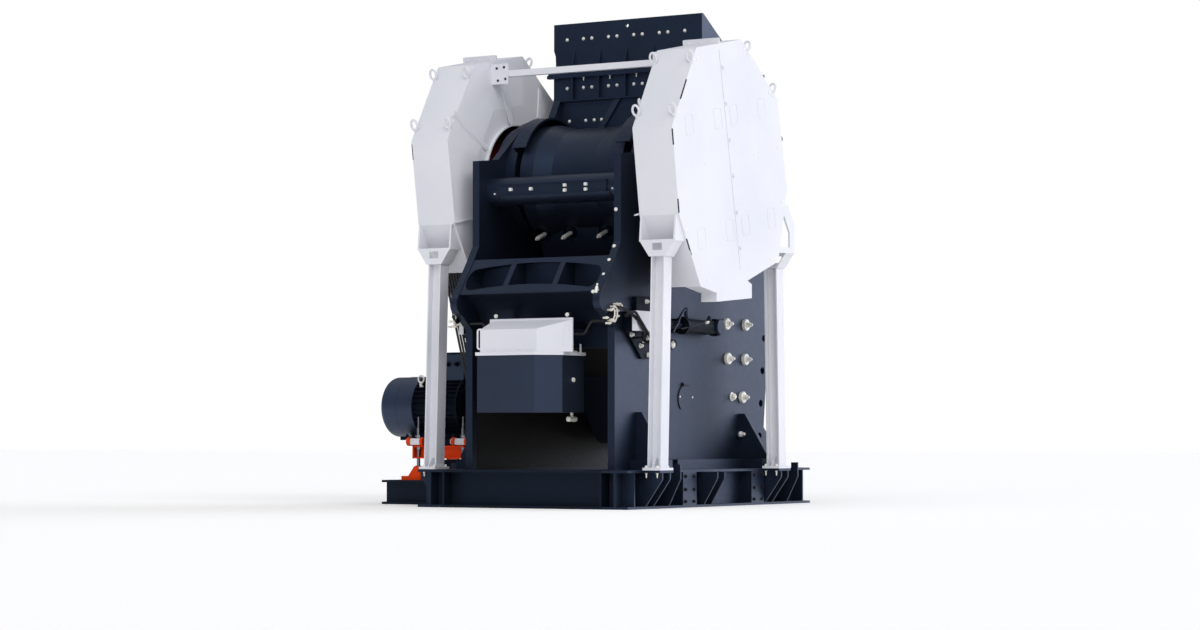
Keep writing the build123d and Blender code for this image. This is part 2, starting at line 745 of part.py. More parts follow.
# Swing jaw: a turned barrel on the eccentric, and the jaw body hanging below it with ribs behind
body_top_down = housing_inner_radius + 2 * eccentric_throw + jaw_plate_gap
jaw_plane = Plane(origin=(-swing_half_width, hang_y, hang_z), x_dir=(0, down_y, down_z), z_dir=(1, 0, 0))
with BuildPart() as swing_jaw:
    with BuildSketch(Plane.XZ.offset(-hang_y)) as barrel_half:
        outline_face(
            (-barrel_half_length, hang_z),
            (-barrel_half_length, hang_z + barrel_end_radius),
            (-barrel_flare_x, hang_z + barrel_end_radius),
            (-barrel_waist_x, hang_z + barrel_waist_radius),
            (barrel_waist_x, hang_z + barrel_waist_radius),
            (barrel_flare_x, hang_z + barrel_end_radius),
            (barrel_half_length, hang_z + barrel_end_radius),
            (barrel_half_length, hang_z),
        )
        rims = barrel_half.vertices().filter_by(
            lambda v: abs(abs(v.X) - barrel_half_length) < joint_overlap and v.Z > hang_z + joint_overlap
        )
        fillet(rims, radius=barrel_corner)
    revolve(axis=Axis((0, hang_y, hang_z), (1, 0, 0)))
    with BuildSketch(jaw_plane.offset(swing_half_width - barrel_half_length)):
        outline_face(
            (0, swing_back_forward),
            (swing_back_down, swing_back_forward),
            (swing_back_down, jaw_seat_forward),
            (plate_top_down, jaw_seat_forward),
            (0, barrel_waist_radius),
        )
    extrude(amount=2 * barrel_half_length)
    with BuildSketch(jaw_plane):
        outline_face(
            (body_top_down, jaw_seat_forward),
            (body_top_down, 0),
            (swing_back_down, 0),
            (swing_back_down, swing_back_forward),
            (swing_waist_down, swing_waist_forward),
            (swing_waist_down + 2 * toggle_thickness, swing_waist_forward),
            (swing_foot_down, swing_foot_forward),
            (plate_bottom_down, swing_foot_forward + toggle_end_radius),
            (plate_bottom_down, jaw_seat_forward),
        )
    extrude(amount=2 * swing_half_width)
    pocket_width = (2 * swing_half_width - (swing_rib_count + 1) * swing_rib_thickness) / swing_rib_count
    for i in range(swing_rib_count):
        pocket_x = -swing_half_width + swing_rib_thickness + pocket_width / 2
        pocket_x += i * (pocket_width + swing_rib_thickness)
        with BuildSketch(jaw_plane.offset(pocket_x + swing_half_width - pocket_width / 2)):
            outline_face(
                (swing_back_down + swing_rib_thickness, swing_back_forward - joint_overlap),
                (swing_back_down + swing_rib_thickness, swing_waist_forward + swing_pocket_depth),
                (swing_waist_down - 2 * swing_rib_thickness, swing_waist_forward + swing_pocket_depth),
                (swing_waist_down - swing_rib_thickness, swing_waist_forward - swing_pocket_slope),
                (swing_waist_down - swing_rib_thickness, swing_back_forward - joint_overlap),
            )
        extrude(amount=pocket_width, mode=Mode.SUBTRACT)
    bolt_y, bolt_z = jaw_point(swing_back_forward, jaw_bolt_down)
    bolt_plane = Plane(origin=(0, bolt_y, bolt_z), x_dir=(1, 0, 0), z_dir=(0, -forward_y, -forward_z))
    bolt_places = [(x, 0) for x in (-outer_jaw_bolt_x, -inner_jaw_bolt_x, inner_jaw_bolt_x, outer_jaw_bolt_x)]
    with BuildSketch(bolt_plane.offset(-jaw_bolt_recess_depth)):
        with Locations(*bolt_places):
            Circle(jaw_bolt_recess_radius)
    extrude(amount=4 * jaw_bolt_recess_depth, mode=Mode.SUBTRACT)
    with BuildSketch(bolt_plane.offset(-jaw_bolt_recess_depth)):
        with Locations(*bolt_places):
            Circle(jaw_bolt_radius)
    extrude(amount=jaw_bolt_recess_depth + jaw_bolt_reach)
    with BuildSketch(Plane.YZ.offset(-swing_half_width)):
        with Locations((hang_y, hang_z)):
            Circle(eccentric_radius + running_clearance)
    extrude(amount=2 * swing_half_width, mode=Mode.SUBTRACT)
    with BuildSketch(Plane.YZ.offset(-toggle_half_width - jaw_plate_gap)):
        with Locations((toggle_seat_y, toggle_seat_z)):
            Circle(toggle_end_radius + seat_clearance)
        with Locations(toggle_mouth):
            Rectangle(toggle_mouth_length, 2 * (toggle_end_radius + seat_clearance), rotation=toggle_angle)
    extrude(amount=2 * (toggle_half_width + jaw_plate_gap), mode=Mode.SUBTRACT)
save(swing_jaw, "swing_jaw")

# Toggle plate: from its seat in the swing jaw back to the toggle beam, with rounded ends
toggle_plane = Plane(
    origin=(-toggle_half_width, toggle_back_y, toggle_back_z),
    x_dir=(0, along_y, along_z),
    z_dir=(1, 0, 0),
)
with BuildPart() as toggle_plate:
    with BuildSketch(toggle_plane):
        with Locations((0, 0), (toggle_length, 0)):
            Circle(toggle_end_radius)
        with Locations((toggle_length / 2, 0)):
            Rectangle(toggle_length, toggle_thickness)
    extrude(amount=2 * toggle_half_width)
save(toggle_plate, "toggle_plate")

# Toggle beam: the block across the frame that the toggle plate faces
seat_y = toggle_back_y - (toggle_end_radius + toggle_open_gap) * along_y
seat_z = toggle_back_z - (toggle_end_radius + toggle_open_gap) * along_z
with BuildPart() as toggle_beam:
    with BuildSketch(Plane.YZ.offset(-toggle_beam_half_width)):
        outline_face(
            (casting_front_y, toggle_beam_low_z),
            (toggle_beam_front_y - toggle_thickness, toggle_beam_low_z),
            (seat_y + toggle_seat_height / 2 * along_z, seat_z - toggle_seat_height / 2 * along_y),
            (seat_y - toggle_seat_height / 2 * along_z, seat_z + toggle_seat_height / 2 * along_y),
            (toggle_beam_front_y - toggle_thickness / 2, toggle_beam_high_z),
            (casting_front_y, toggle_beam_high_z),
        )
    extrude(amount=2 * toggle_beam_half_width)
save(toggle_beam, "toggle_beam")

# Rear casting: a bowed cast beam across the frame, with three pockets and a curved hood below them
pocket_bottom_rise = casting_arch_radius - math.sqrt(casting_arch_radius**2 - pocket_half_width**2)
with BuildPart() as rear_casting:
    with BuildSketch(Plane.YZ.offset(-frame_half_inside)):
        with BuildLine():
            upper = Polyline(
                (casting_front_y, casting_low_z),
                (casting_front_y, casting_top_z),
                (casting_top_y, casting_top_z),
                (casting_nose_y, casting_nose_z),
            )
            hood = ThreePointArc(
                (casting_nose_y, casting_nose_z),
                ((casting_nose_y + casting_low_y) / 2 + casting_hood_sag,
                 (casting_nose_z + casting_low_z) / 2 + casting_hood_sag),
                (casting_low_y, casting_low_z),
            )
            Line((casting_low_y, casting_low_z), (casting_front_y, casting_low_z))
        make_face()
    extrude(amount=2 * frame_half_inside)
    with BuildSketch(Plane.XZ.offset(-casting_nose_y)) as pockets:
        with BuildLine():
            low_arc = ThreePointArc(
                (-pocket_half_width, pocket_low_z),
                (0, pocket_low_z + pocket_bottom_rise),
                (pocket_half_width, pocket_low_z),
            )
            Line((pocket_half_width, pocket_low_z), (pocket_half_width, pocket_high_z))
            high_arc = ThreePointArc(
                (pocket_half_width, pocket_high_z),
                (0, pocket_high_z + pocket_bottom_rise),
                (-pocket_half_width, pocket_high_z),
            )
            Line((-pocket_half_width, pocket_high_z), (-pocket_half_width, pocket_low_z))
        make_face()
        fillet(pockets.vertices(), radius=pocket_corner)
        with Locations((-pocket_rib_x, (pocket_low_z + pocket_high_z) / 2),
                       (pocket_rib_x, (pocket_low_z + pocket_high_z) / 2)):
            Rectangle(pocket_rib_thickness, 2 * (pocket_high_z - pocket_low_z), mode=Mode.SUBTRACT)
    extrude(amount=casting_nose_y - casting_front_y + pocket_back_wall, mode=Mode.SUBTRACT)
save(rear_casting, "rear_casting")

# Cross tube, with an open tray along its rear face
with BuildPart() as cross_tube:
    with BuildSketch(Plane.YZ.offset(-frame_half_inside)):
        with Locations((tube_y, tube_z)):
            Circle(tube_radius)
    extrude(amount=2 * frame_half_inside)
    tray_middle_z = (tray_low_z + tray_high_z) / 2
    tray_height = tray_high_z - tray_low_z
    tray_depth = tube_y - tray_rear_y
    with BuildSketch(Plane.YZ.offset(-tray_half_length)):
        with Locations(((tray_rear_y + tube_y) / 2, tray_middle_z)):
            Rectangle(tray_depth, tray_height)
        with Locations(((tray_rear_y + tube_y - tube_radius) / 2 - tray_wall, tray_middle_z)):
            Rectangle(tray_depth - tube_radius, tray_height - 2 * tray_wall, mode=Mode.SUBTRACT)
    extrude(amount=2 * tray_half_length)
save(cross_tube, "cross_tube")

# Main bearing housings in the side plates, each with a hood over the end of the barrel
hood_inner_radius = barrel_end_radius + eccentric_throw + hood_gap
hood_outer_radius = hood_inner_radius + hood_thickness
hood_plate_x = housing_inner_x + hood_thickness
hood_angle = math.radians(hood_end_angle)
for side, sign in sides:
    with BuildPart() as housing:
        with BuildSketch(Plane.YZ.offset(sign * housing_inner_x)):
            with Locations((shaft_y, shaft_z)):
                Circle(housing_inner_radius)
        extrude(amount=sign * (frame_half_inside - housing_inner_x))
        with BuildSketch(Plane.YZ.offset(sign * frame_half_inside)):
            with Locations((shaft_y, shaft_z)):
                Circle(housing_neck_radius)
        extrude(amount=sign * side_plate_thickness)
        with BuildSketch(Plane.YZ.offset(sign * plate_outer_x)):
            with Locations((shaft_y, shaft_z)):
                Circle(housing_flange_radius)
        extrude(amount=sign * housing_flange_thickness)
        with BuildSketch(Plane.YZ.offset(sign * (plate_outer_x + housing_flange_thickness))):
            with Locations((shaft_y, shaft_z)):
                Circle(housing_cap_radius)
        extrude(amount=sign * (housing_outer_x - plate_outer_x - housing_flange_thickness))
        chamfer(housing.faces().sort_by(Axis.X)[-1 if sign > 0 else 0].edges(), length=housing_edge)
        end_cos, end_sin = math.cos(hood_angle), math.sin(hood_angle)
        for ring_inner, ring_start, ring_end in (
            (hood_inner_radius, hood_inner_x, housing_inner_x + joint_overlap),
            (housing_inner_radius - joint_overlap, housing_inner_x, hood_plate_x),
        ):
            with BuildSketch(Plane.YZ.offset(sign * ring_start)):
                with BuildLine():
                    outer = ThreePointArc(
                        (shaft_y - hood_outer_radius * end_cos, shaft_z + hood_outer_radius * end_sin),
                        (shaft_y, shaft_z + hood_outer_radius),
                        (shaft_y + hood_outer_radius * end_cos, shaft_z + hood_outer_radius * end_sin),
                    )
                    inner = ThreePointArc(
                        (shaft_y + ring_inner * end_cos, shaft_z + ring_inner * end_sin),
                        (shaft_y, shaft_z + ring_inner),
                        (shaft_y - ring_inner * end_cos, shaft_z + ring_inner * end_sin),
                    )
                    Line(outer @ 1, inner @ 0)
                    Line(inner @ 1, outer @ 0)
                make_face()
            extrude(amount=sign * (ring_end - ring_start))
        with BuildSketch(Plane.YZ.offset(sign * housing_inner_x)):
            with Locations((shaft_y, shaft_z)):
                Circle(journal_radius + running_clearance)
        extrude(amount=sign * (housing_outer_x - housing_inner_x), mode=Mode.SUBTRACT)
    save(housing, "bearing_housing_" + side)

# Eccentric shaft: journals on the main axis and the thick middle one throw below it
shaft_end_x = flywheel_inner_x + flywheel_width + shaft_end_reach
with BuildPart() as eccentric_shaft:
    with BuildSketch(Plane.YZ.offset(-shaft_end_x)):
        with Locations((shaft_y, shaft_z)):
            Circle(flywheel_seat_radius)
    extrude(amount=2 * shaft_end_x)
    with BuildSketch(Plane.YZ.offset(-flywheel_inner_x)):
        with Locations((shaft_y, shaft_z)):
            Circle(journal_radius)
    extrude(amount=2 * flywheel_inner_x)
    with BuildSketch(Plane.YZ.offset(-barrel_half_length)):
        with Locations((hang_y, hang_z)):
            Circle(eccentric_radius)
    extrude(amount=2 * barrel_half_length)
save(eccentric_shaft, "eccentric_shaft")

# Flywheels: turned wheels with lightening holes; the left one carries the belt grooves
flywheel_middle_x = flywheel_inner_x + flywheel_width / 2
rim_inner_radius = flywheel_radius - flywheel_rim


def groove_points(radius, clearance):
    """Corners of the belt grooves along a rim, from its far edge to its near edge."""
    half = belt_width / 2 + clearance
    depth = belt_height + clearance
    points = []
    for i in range(belt_count):
        x = flywheel_middle_x + ((belt_count - 1) / 2 - i) * belt_pitch
        points.append((x + half, radius))
        points.append((x + half - belt_taper, radius - depth))
        points.append((x - half + belt_taper, radius - depth))
        points.append((x - half, radius))
    return points


for side, sign in sides:
    with BuildPart() as flywheel:
        far_x = flywheel_inner_x + flywheel_width
        rim = groove_points(flywheel_radius, belt_clearance) if side == "left" else []
        section = [
            (flywheel_inner_x, flywheel_seat_radius),
            (far_x, flywheel_seat_radius),
            (far_x, flywheel_hub_radius),
            (flywheel_middle_x + flywheel_web / 2, flywheel_hub_radius),
            (flywheel_middle_x + flywheel_web / 2, rim_inner_radius),
            (far_x, rim_inner_radius),
            (far_x, flywheel_radius),
        ]
        section += rim
        section += [
            (flywheel_inner_x, flywheel_radius),
            (flywheel_inner_x, rim_inner_radius),
            (flywheel_middle_x - flywheel_web / 2, rim_inner_radius),
            (flywheel_middle_x - flywheel_web / 2, flywheel_hub_radius),
            (flywheel_inner_x, flywheel_hub_radius),
        ]
        with BuildSketch(Plane.XZ.offset(-shaft_y)):
            outline_face(*[(sign * x, shaft_z + r) for x, r in section])
        revolve(axis=Axis((0, shaft_y, shaft_z), (1, 0, 0)))
        with BuildSketch(Plane.YZ.offset(sign * flywheel_middle_x)):
            with Locations((shaft_y, shaft_z)):
                with PolarLocations((flywheel_hub_radius + rim_inner_radius) / 2, flywheel_hole_count):
                    Circle(flywheel_hole_radius)
        extrude(amount=flywheel_web, both=True, mode=Mode.SUBTRACT)
    save(flywheel, "flywheel_" + side)

# Feed hopper, lower part: four walls with ribs, a ledge and a top flange, and a shelf on the front wall
hopper_middle_y = (hopper_rear_y + hopper_front_y) / 2
hopper_depth = hopper_front_y - hopper_rear_y
inside_width = 2 * (hopper_half_width - hopper_wall)
inside_depth = hopper_depth - 2 * hopper_wall
with BuildPart() as hopper_lower:
    with BuildSketch(Plane.XY.offset(frame_top)):
        with Locations((0, hopper_middle_y)):
            Rectangle(2 * hopper_half_width, hopper_depth)
            Rectangle(inside_width, inside_depth, mode=Mode.SUBTRACT)
    extrude(amount=hopper_flange_z + hopper_flange_thickness - frame_top)
    with BuildSketch(Plane.XY.offset(hopper_flange_z)):
        with Locations((0, hopper_middle_y)):
            Rectangle(2 * (hopper_half_width + hopper_flange_reach), hopper_depth + 2 * hopper_flange_reach)
            Rectangle(inside_width, inside_depth, mode=Mode.SUBTRACT)
    extrude(amount=hopper_flange_thickness)
    with BuildSketch(Plane.XY.offset(hopper_skirt_z)):
        with Locations((0, hopper_rear_y + hopper_wall / 2)):
            Rectangle(2 * (frame_half_inside - seat_clearance), hopper_wall)
    extrude(amount=frame_top - hopper_skirt_z)
    with BuildSketch(Plane.XY.offset(hopper_ledge_z)):
        with Locations((0, hopper_rear_y - hopper_ledge_depth / 2)):
            Rectangle(2 * frame_half_inside, hopper_ledge_depth)
    extrude(amount=hopper_rib_thickness)
    shelf_start_y = hopper_front_y - hopper_wall
    shelf_end_y = wall_seat_y(frame_top) + front_wall_thickness
    with BuildSketch(Plane.XY.offset(frame_top)):
        with Locations((0, (shelf_start_y + shelf_end_y) / 2)):
            Rectangle(2 * plate_outer_x, shelf_end_y - shelf_start_y)
    extrude(amount=hopper_rib_thickness)
    for i in range(hopper_rib_count):
        x = (i - (hopper_rib_count - 1) / 2) * hopper_rib_pitch
        with BuildSketch(Plane.YZ.offset(x)):
            with Locations((hopper_rear_y - hopper_ledge_depth / 2, (hopper_ledge_z + hopper_flange_z) / 2)):
                Rectangle(hopper_ledge_depth, hopper_flange_z - hopper_ledge_z)
        extrude(amount=hopper_rib_thickness / 2, both=True)
    for sign in (-1, 1):
        ear_block_x = sign * (frame_half_inside + side_plate_thickness / 2)
        with BuildSketch(Plane.XY.offset(frame_top)):
            with Locations((ear_block_x, ear_y + hopper_wall * 3)):
                Rectangle(side_plate_thickness + seat_clearance, hopper_wall * 6)
        extrude(amount=ear_z - frame_top, mode=Mode.SUBTRACT)
save(hopper_lower, "hopper_lower")

# Feed hopper, upper part: a rear wall with two sloping side boards, open to the front
upper_low_z = hopper_flange_z + hopper_flange_thickness
board_run = (hopper_top - board_end_z) / math.tan(math.radians(board_slope))
with BuildPart() as hopper_upper:
    with BuildSketch(Plane.XZ.offset(-hopper_rear_y)):
        outline_face(
            (-upper_foot_half_width, upper_low_z),
            (-upper_foot_half_width, upper_foot_z),
            (-upper_half_width, upper_bend_z),
            (-upper_half_width, hopper_top),
            (upper_half_width, hopper_top),
            (upper_half_width, upper_bend_z),
            (upper_foot_half_width, upper_foot_z),
            (upper_foot_half_width, upper_low_z),
        )
        with Locations((0, hopper_top - lifting_hole_drop)):
            Circle(lifting_hole_radius, mode=Mode.SUBTRACT)
    extrude(amount=-upper_wall)
    for sign in (-1, 1):
        with BuildSketch(Plane.YZ.offset(sign * (upper_half_width - board_thickness))):
            outline_face(
                (hopper_rear_y + upper_wall - joint_overlap, upper_bend_z),
                (hopper_rear_y + upper_wall - joint_overlap, hopper_top),
                (hopper_rear_y + upper_wall, hopper_top),
                (hopper_rear_y + board_run, board_end_z),
                (hopper_rear_y + board_run, upper_low_z),
                (hopper_rear_y + upper_wall + board_thickness, upper_low_z),
            )
        extrude(amount=sign * board_thickness)
    for i in range(hopper_rib_count):
        x = (i - (hopper_rib_count - 1) / 2) * hopper_rib_pitch
        with BuildSketch(Plane.YZ.offset(x)):
            outline_face(
                (hopper_rear_y, upper_low_z),
                (hopper_rear_y - hopper_flange_reach, upper_low_z),
                (hopper_rear_y - hopper_flange_reach, upper_foot_z),
                (hopper_rear_y, upper_bend_z),
            )
        extrude(amount=hopper_rib_thickness / 2, both=True)
save(hopper_upper, "hopper_upper")

# Flywheel guards: nine-sided sheet housings; the inner side is a shallow pyramid of folded panels
guard_corners = (
    (-1125.0, 4568.0),
    (-190.0, 4758.0),
    (610.0, 4213.0),
    (816.0, 3290.0),
    (615.0, 2532.0),
    (-60.0, 2300.0),
    (-1045.0, 2198.0),
    (-1475.0, 2888.0),
    (-1615.0, 3748.0),
)
window_y = shaft_y


def guard_ring(share):
    """The guard's corners drawn in towards the middle of its window."""
    points = []
    for y, z in guard_corners:
        points.append((window_y + share * (y - window_y), guard_window_z + share * (z - guard_window_z)))
    return points


def panel_solid(sign, depth):
    """The pyramid's outside from the rim inwards, laid a depth below its skin."""
    with BuildPart() as panels:
        with BuildSketch(Plane.YZ.offset(sign * (guard_rim_x + depth))):
            outline_face(*guard_ring(1.0))
        with BuildSketch(Plane.YZ.offset(sign * (guard_collar_x + depth))):
            outline_face(*guard_ring(guard_panel_share))
        loft(ruled=True)
    return panels.part


belt_slot_x = -flywheel_middle_x
belt_slot_width = belt_count * belt_pitch + 4 * belt_clearance
belt_slot_half_depth = belt_height + 4 * belt_clearance
slot_low_z = guard_corners[6][1] - hopper_wall
slot_high_z = guard_corners[4][1] + hopper_wall
belt_rise = math.asin((flywheel_radius - pulley_radius) / (shaft_z - motor_z))


def belt_half_span(z):
    """Half the distance between the two runs of the belts at a height."""
    return (pulley_radius + (z - motor_z) * math.sin(belt_rise)) / math.cos(belt_rise)


for side, sign in sides:
    with BuildPart() as guard_shell:
        with BuildSketch(Plane.YZ.offset(sign * guard_rim_x)):
            outline_face(*guard_corners)
        extrude(amount=sign * (guard_outer_x - guard_rim_x))
        with BuildSketch(Plane.YZ.offset(sign * guard_rim_x)):
            outline_face(*guard_corners)
            offset(amount=-guard_sheet, kind=Kind.INTERSECTION, mode=Mode.REPLACE)
        extrude(amount=sign * (guard_outer_x - guard_rim_x - guard_sheet), mode=Mode.SUBTRACT)
        rear_corner, front_corner = guard_corners[6], guard_corners[5]
        sleeve_outline = (
            rear_corner,
            (sleeve_rear_y, sleeve_rear_top_z),
            (sleeve_rear_y, sleeve_rear_z),
            (sleeve_front_y, sleeve_front_z),
            (sleeve_front_y, sleeve_front_top_z),
            front_corner,
        )
        sleeve_hollow = (
            (sleeve_rear_y + guard_sheet, sleeve_rear_z - guard_sheet),
            (sleeve_front_y - guard_sheet, sleeve_rear_z - guard_sheet),
            (sleeve_front_y - guard_sheet, front_corner[1] + 2 * guard_sheet),
            (sleeve_rear_y + guard_sheet, front_corner[1] + 2 * guard_sheet),
        )
        with BuildSketch(Plane.YZ.offset(sign * sleeve_inner_x)):
            outline_face(*sleeve_outline)
        extrude(amount=sign * (guard_outer_x - sleeve_inner_x))
        with BuildSketch(Plane.YZ.offset(sign * (sleeve_inner_x + guard_sheet))):
            outline_face(*sleeve_hollow)
        extrude(amount=sign * (guard_outer_x - sleeve_inner_x - 2 * guard_sheet), mode=Mode.SUBTRACT)
        if side == "left":
            for run in (-1, 1):
                strip = []
                for z, edge in ((slot_low_z, -1), (slot_high_z, -1), (slot_high_z, 1), (slot_low_z, 1)):
                    strip.append((shaft_y + run * belt_half_span(z) + edge * belt_slot_half_depth, z))
                with BuildSketch(Plane.YZ.offset(belt_slot_x)):
                    outline_face(*strip)
                extrude(amount=belt_slot_width / 2, both=True, mode=Mode.SUBTRACT)
    save(guard_shell, "guard_shell_" + side)
    with BuildPart() as guard_inner:
        add(panel_solid(sign, 0))
        add(panel_solid(sign, guard_sheet), mode=Mode.SUBTRACT)
        with BuildSketch(Plane.YZ.offset(sign * (guard_collar_x - guard_collar_depth))):
            with Locations((window_y, guard_window_z)):
                Circle(guard_window_radius + guard_sheet)
        extrude(amount=sign * (guard_collar_depth + guard_sheet))
        with BuildSketch(Plane.YZ.offset(sign * (guard_collar_x - 2 * guard_collar_depth))):
            with Locations((window_y, guard_window_z)):
                Circle(guard_window_radius)
        extrude(amount=sign * (guard_rim_x - guard_collar_x + 4 * guard_collar_depth), mode=Mode.SUBTRACT)
    save(guard_inner, "guard_inner_" + side)

# Guard legs: leaning H posts with a foot plate below and a cradle head under the guard's corner
head_low_z = head_top_z - leg_sheet
rear_head_y = rear_leg_top_y - head_depth / 2
front_head_y = front_leg_top_y + head_depth / 2
rear_cradle = (
    (rear_head_y, head_low_z),
    (rear_cradle_top_y, rear_cradle_top_z),
    (rear_cradle_top_y + head_depth, rear_cradle_top_z),
    (rear_head_y + 2 * head_depth, head_low_z),
)
front_cradle = (
    (front_head_y, head_low_z),
    (front_head_y, front_cradle_bend_z),
    (front_cradle_top_y, front_cradle_top_z),
    (front_cradle_top_y - head_depth, front_cradle_top_z),
    (front_head_y - 2 * head_depth, head_low_z),
)
front_cradle_window = (
    (front_head_y - front_cradle_strip, front_window_low_z),
    (front_head_y - front_cradle_strip, front_cradle_bend_z - front_cradle_strip),
    (front_cradle_top_y - front_cradle_strip, front_window_top_z),
    (front_head_y - 2 * head_depth, front_window_low_z),
)
leg_rows = (
    ("rear", rear_leg_top_y, rear_leg_foot_y, rear_head_y, 1, rear_cradle),
    ("front", front_leg_top_y, front_leg_foot_y, front_head_y, -1, front_cradle),
)
leg_foot_z = base_height + leg_plate_thickness
for side, sign in sides:
    for row, top_y, foot_y, head_y, inward, cradle in leg_rows:
        with BuildPart() as guard_leg:
            leg_rise = leg_top_z - leg_foot_z
            leg_run = top_y - foot_y
            leg_length = math.hypot(leg_rise, leg_run)
            leg_plane = Plane(
                origin=(sign * leg_x, foot_y, leg_foot_z),
                x_dir=(1, 0, 0),
                z_dir=(0, leg_run / leg_length, leg_rise / leg_length),
            )
            with BuildSketch(leg_plane):
                Rectangle(leg_size, leg_size)
                for edge in (-1, 1):
                    with Locations((0, edge * (leg_size + leg_sheet) / 4)):
                        Rectangle(leg_size - 2 * leg_sheet, (leg_size - leg_sheet) / 2, mode=Mode.SUBTRACT)
            extrude(amount=leg_length)
            with BuildSketch(Plane.XY.offset(base_height)):
                with Locations((sign * leg_x, foot_y)):
                    Rectangle(leg_plate_width, leg_plate_length)
            extrude(amount=leg_plate_thickness + leg_sheet / 2)
            for edge in (-1, 1):
                with BuildSketch(Plane.YZ.offset(sign * leg_x)):
                    outline_face(
                        (foot_y + edge * (leg_plate_length / 2 - leg_sheet), leg_foot_z),
                        (foot_y, leg_foot_z),
                        (foot_y, leg_foot_z + leg_gusset_height),
                        (foot_y + edge * leg_size / 3, leg_foot_z + leg_gusset_height),
                    )
                extrude(amount=leg_sheet / 2, both=True)
            with BuildSketch(Plane.XZ.offset(-head_y)):
                outline_face(
                    (sign * (leg_x - head_foot_half_width), leg_top_z),
                    (sign * (leg_x + head_foot_half_width), leg_top_z),
                    (sign * (leg_x + head_half_width), head_top_z),
                    (sign * (leg_x - head_half_width), head_top_z),
                )
            extrude(amount=-inward * head_depth)
            with BuildSketch(Plane.XZ.offset(-head_y - inward * leg_sheet)):
                outline_face(
                    (sign * (leg_x - head_foot_half_width + leg_sheet / 2), leg_top_z + leg_sheet),
                    (sign * (leg_x + head_foot_half_width - leg_sheet / 2), leg_top_z + leg_sheet),
                    (sign * (leg_x + head_half_width - leg_sheet), head_top_z + joint_overlap),
                    (sign * (leg_x - head_half_width + leg_sheet), head_top_z + joint_overlap),
                )
            extrude(amount=-inward * head_depth, mode=Mode.SUBTRACT)
            with BuildSketch(Plane.XZ.offset(-head_y)):
                with Locations((sign * leg_x, (leg_top_z + head_top_z) / 2 + leg_sheet)):
                    Rectangle(2 * head_window_half_width, head_window_height)
            extrude(amount=-inward * leg_sheet, mode=Mode.SUBTRACT)
            for edge in (-1, 1):
                plate_x = sign * leg_x + edge * (head_half_width - cradle_thickness / 2)
                with BuildSketch(Plane.YZ.offset(plate_x)):
                    outline_face(*cradle)
                    if row == "front":
                        Polygon(*front_cradle_window, align=None, mode=Mode.SUBTRACT)
                extrude(amount=cradle_thickness / 2, both=True)
            with BuildSketch(Plane.YZ.offset(sign * guard_rim_x)):
                outline_face(*guard_corners)
            extrude(amount=sign * (guard_outer_x - guard_rim_x), mode=Mode.SUBTRACT)
        save(guard_leg, "guard_leg_" + side + "_" + row)

# Tie beam across the top between the two guards, with a bolted plate at each end
with BuildPart() as guard_cross_beam:
    tie_half_length = guard_rim_x - guard_sheet
    with BuildSketch(Plane.YZ.offset(-tie_half_length)):
        with Locations((tie_beam_y, tie_beam_z)):
            Rectangle(tie_beam_size, tie_beam_size)
    extrude(amount=2 * tie_half_length)
    for edge in (-1, 1):
        plate_x = edge * (tie_half_length - tie_plate_size / 2)
        with BuildSketch(Plane.XZ.offset(-tie_beam_y + tie_beam_size / 2)):
            with Locations((plate_x, tie_beam_z)):
                Rectangle(tie_plate_size, tie_plate_size)
        extrude(amount=tie_plate_thickness)
        add(panel_solid(edge, -seat_clearance), mode=Mode.SUBTRACT)
save(guard_cross_beam, "guard_cross_beam")

# Service box: a dark body with a chamfered right side, a ledge round its top and two hangers
with BuildPart() as service_box_body:
    with BuildSketch(Plane.XY.offset(box_low_z)):
        outline_face(
            (box_left_x, box_rear_y),
            (box_facet_x, box_rear_y),
            (box_right_x, box_facet_y),
            (box_right_x, box_front_y),
            (box_left_x, box_front_y),
        )
    extrude(amount=box_high_z - box_low_z)
save(service_box_body, "service_box_body")

# Lid of the service box: white ledge, sloping roof and a back plate that hangs from the casting
with BuildPart() as service_box_lid:
    with BuildSketch(Plane.XY.offset(box_high_z)) as ledge:
        outline_face(
            (box_left_x, box_rear_y),
            (box_facet_x, box_rear_y),
            (box_right_x, box_facet_y),
            (box_right_x, box_front_y),
            (box_left_x, box_front_y),
        )
        offset(amount=ledge_reach, kind=Kind.INTERSECTION, mode=Mode.REPLACE)
    extrude(amount=ledge_thickness)
    lid_low_z = box_high_z + ledge_thickness
    with BuildSketch(Plane.XY.offset(lid_low_z)):
        outline_face(
            (lid_left_x, box_rear_y + lid_inset),
            (lid_facet_x, box_rear_y + lid_inset),
            (back_plate_half_width, back_plate_y),
            (lid_left_x, back_plate_y),
        )
    extrude(amount=lid_roof_z - lid_low_z)
    with BuildSketch(Plane.YZ.offset(lid_left_x)):
        outline_face(
            (box_rear_y, lid_eave_z),
            (back_plate_y, lid_roof_z),
            (back_plate_y, back_plate_z + lid_inset),
            (box_rear_y, back_plate_z + lid_inset),
        )
    extrude(amount=2 * back_plate_half_width, mode=Mode.SUBTRACT)
    with BuildSketch(Plane.XZ.offset(-back_plate_y)):
        with Locations((0, (lid_low_z + back_plate_z) / 2)):
            Rectangle(2 * back_plate_half_width, back_plate_z - lid_low_z)
    extrude(amount=-back_plate_thickness)
    for edge in (-1, 1):
        with BuildSketch(Plane.YZ.offset(edge * hanger_x)):
            outline_face(
                (back_plate_y + back_plate_thickness, lid_roof_z - hanger_width),
                (back_plate_y + back_plate_thickness, back_plate_z),
                (casting_low_y, casting_low_z - seat_clearance),
                (casting_front_y, casting_low_z - seat_clearance),
                (casting_front_y, lid_roof_z - hanger_width),
            )
        extrude(amount=hanger_width / 6, both=True)
save(service_box_lid, "service_box_lid")

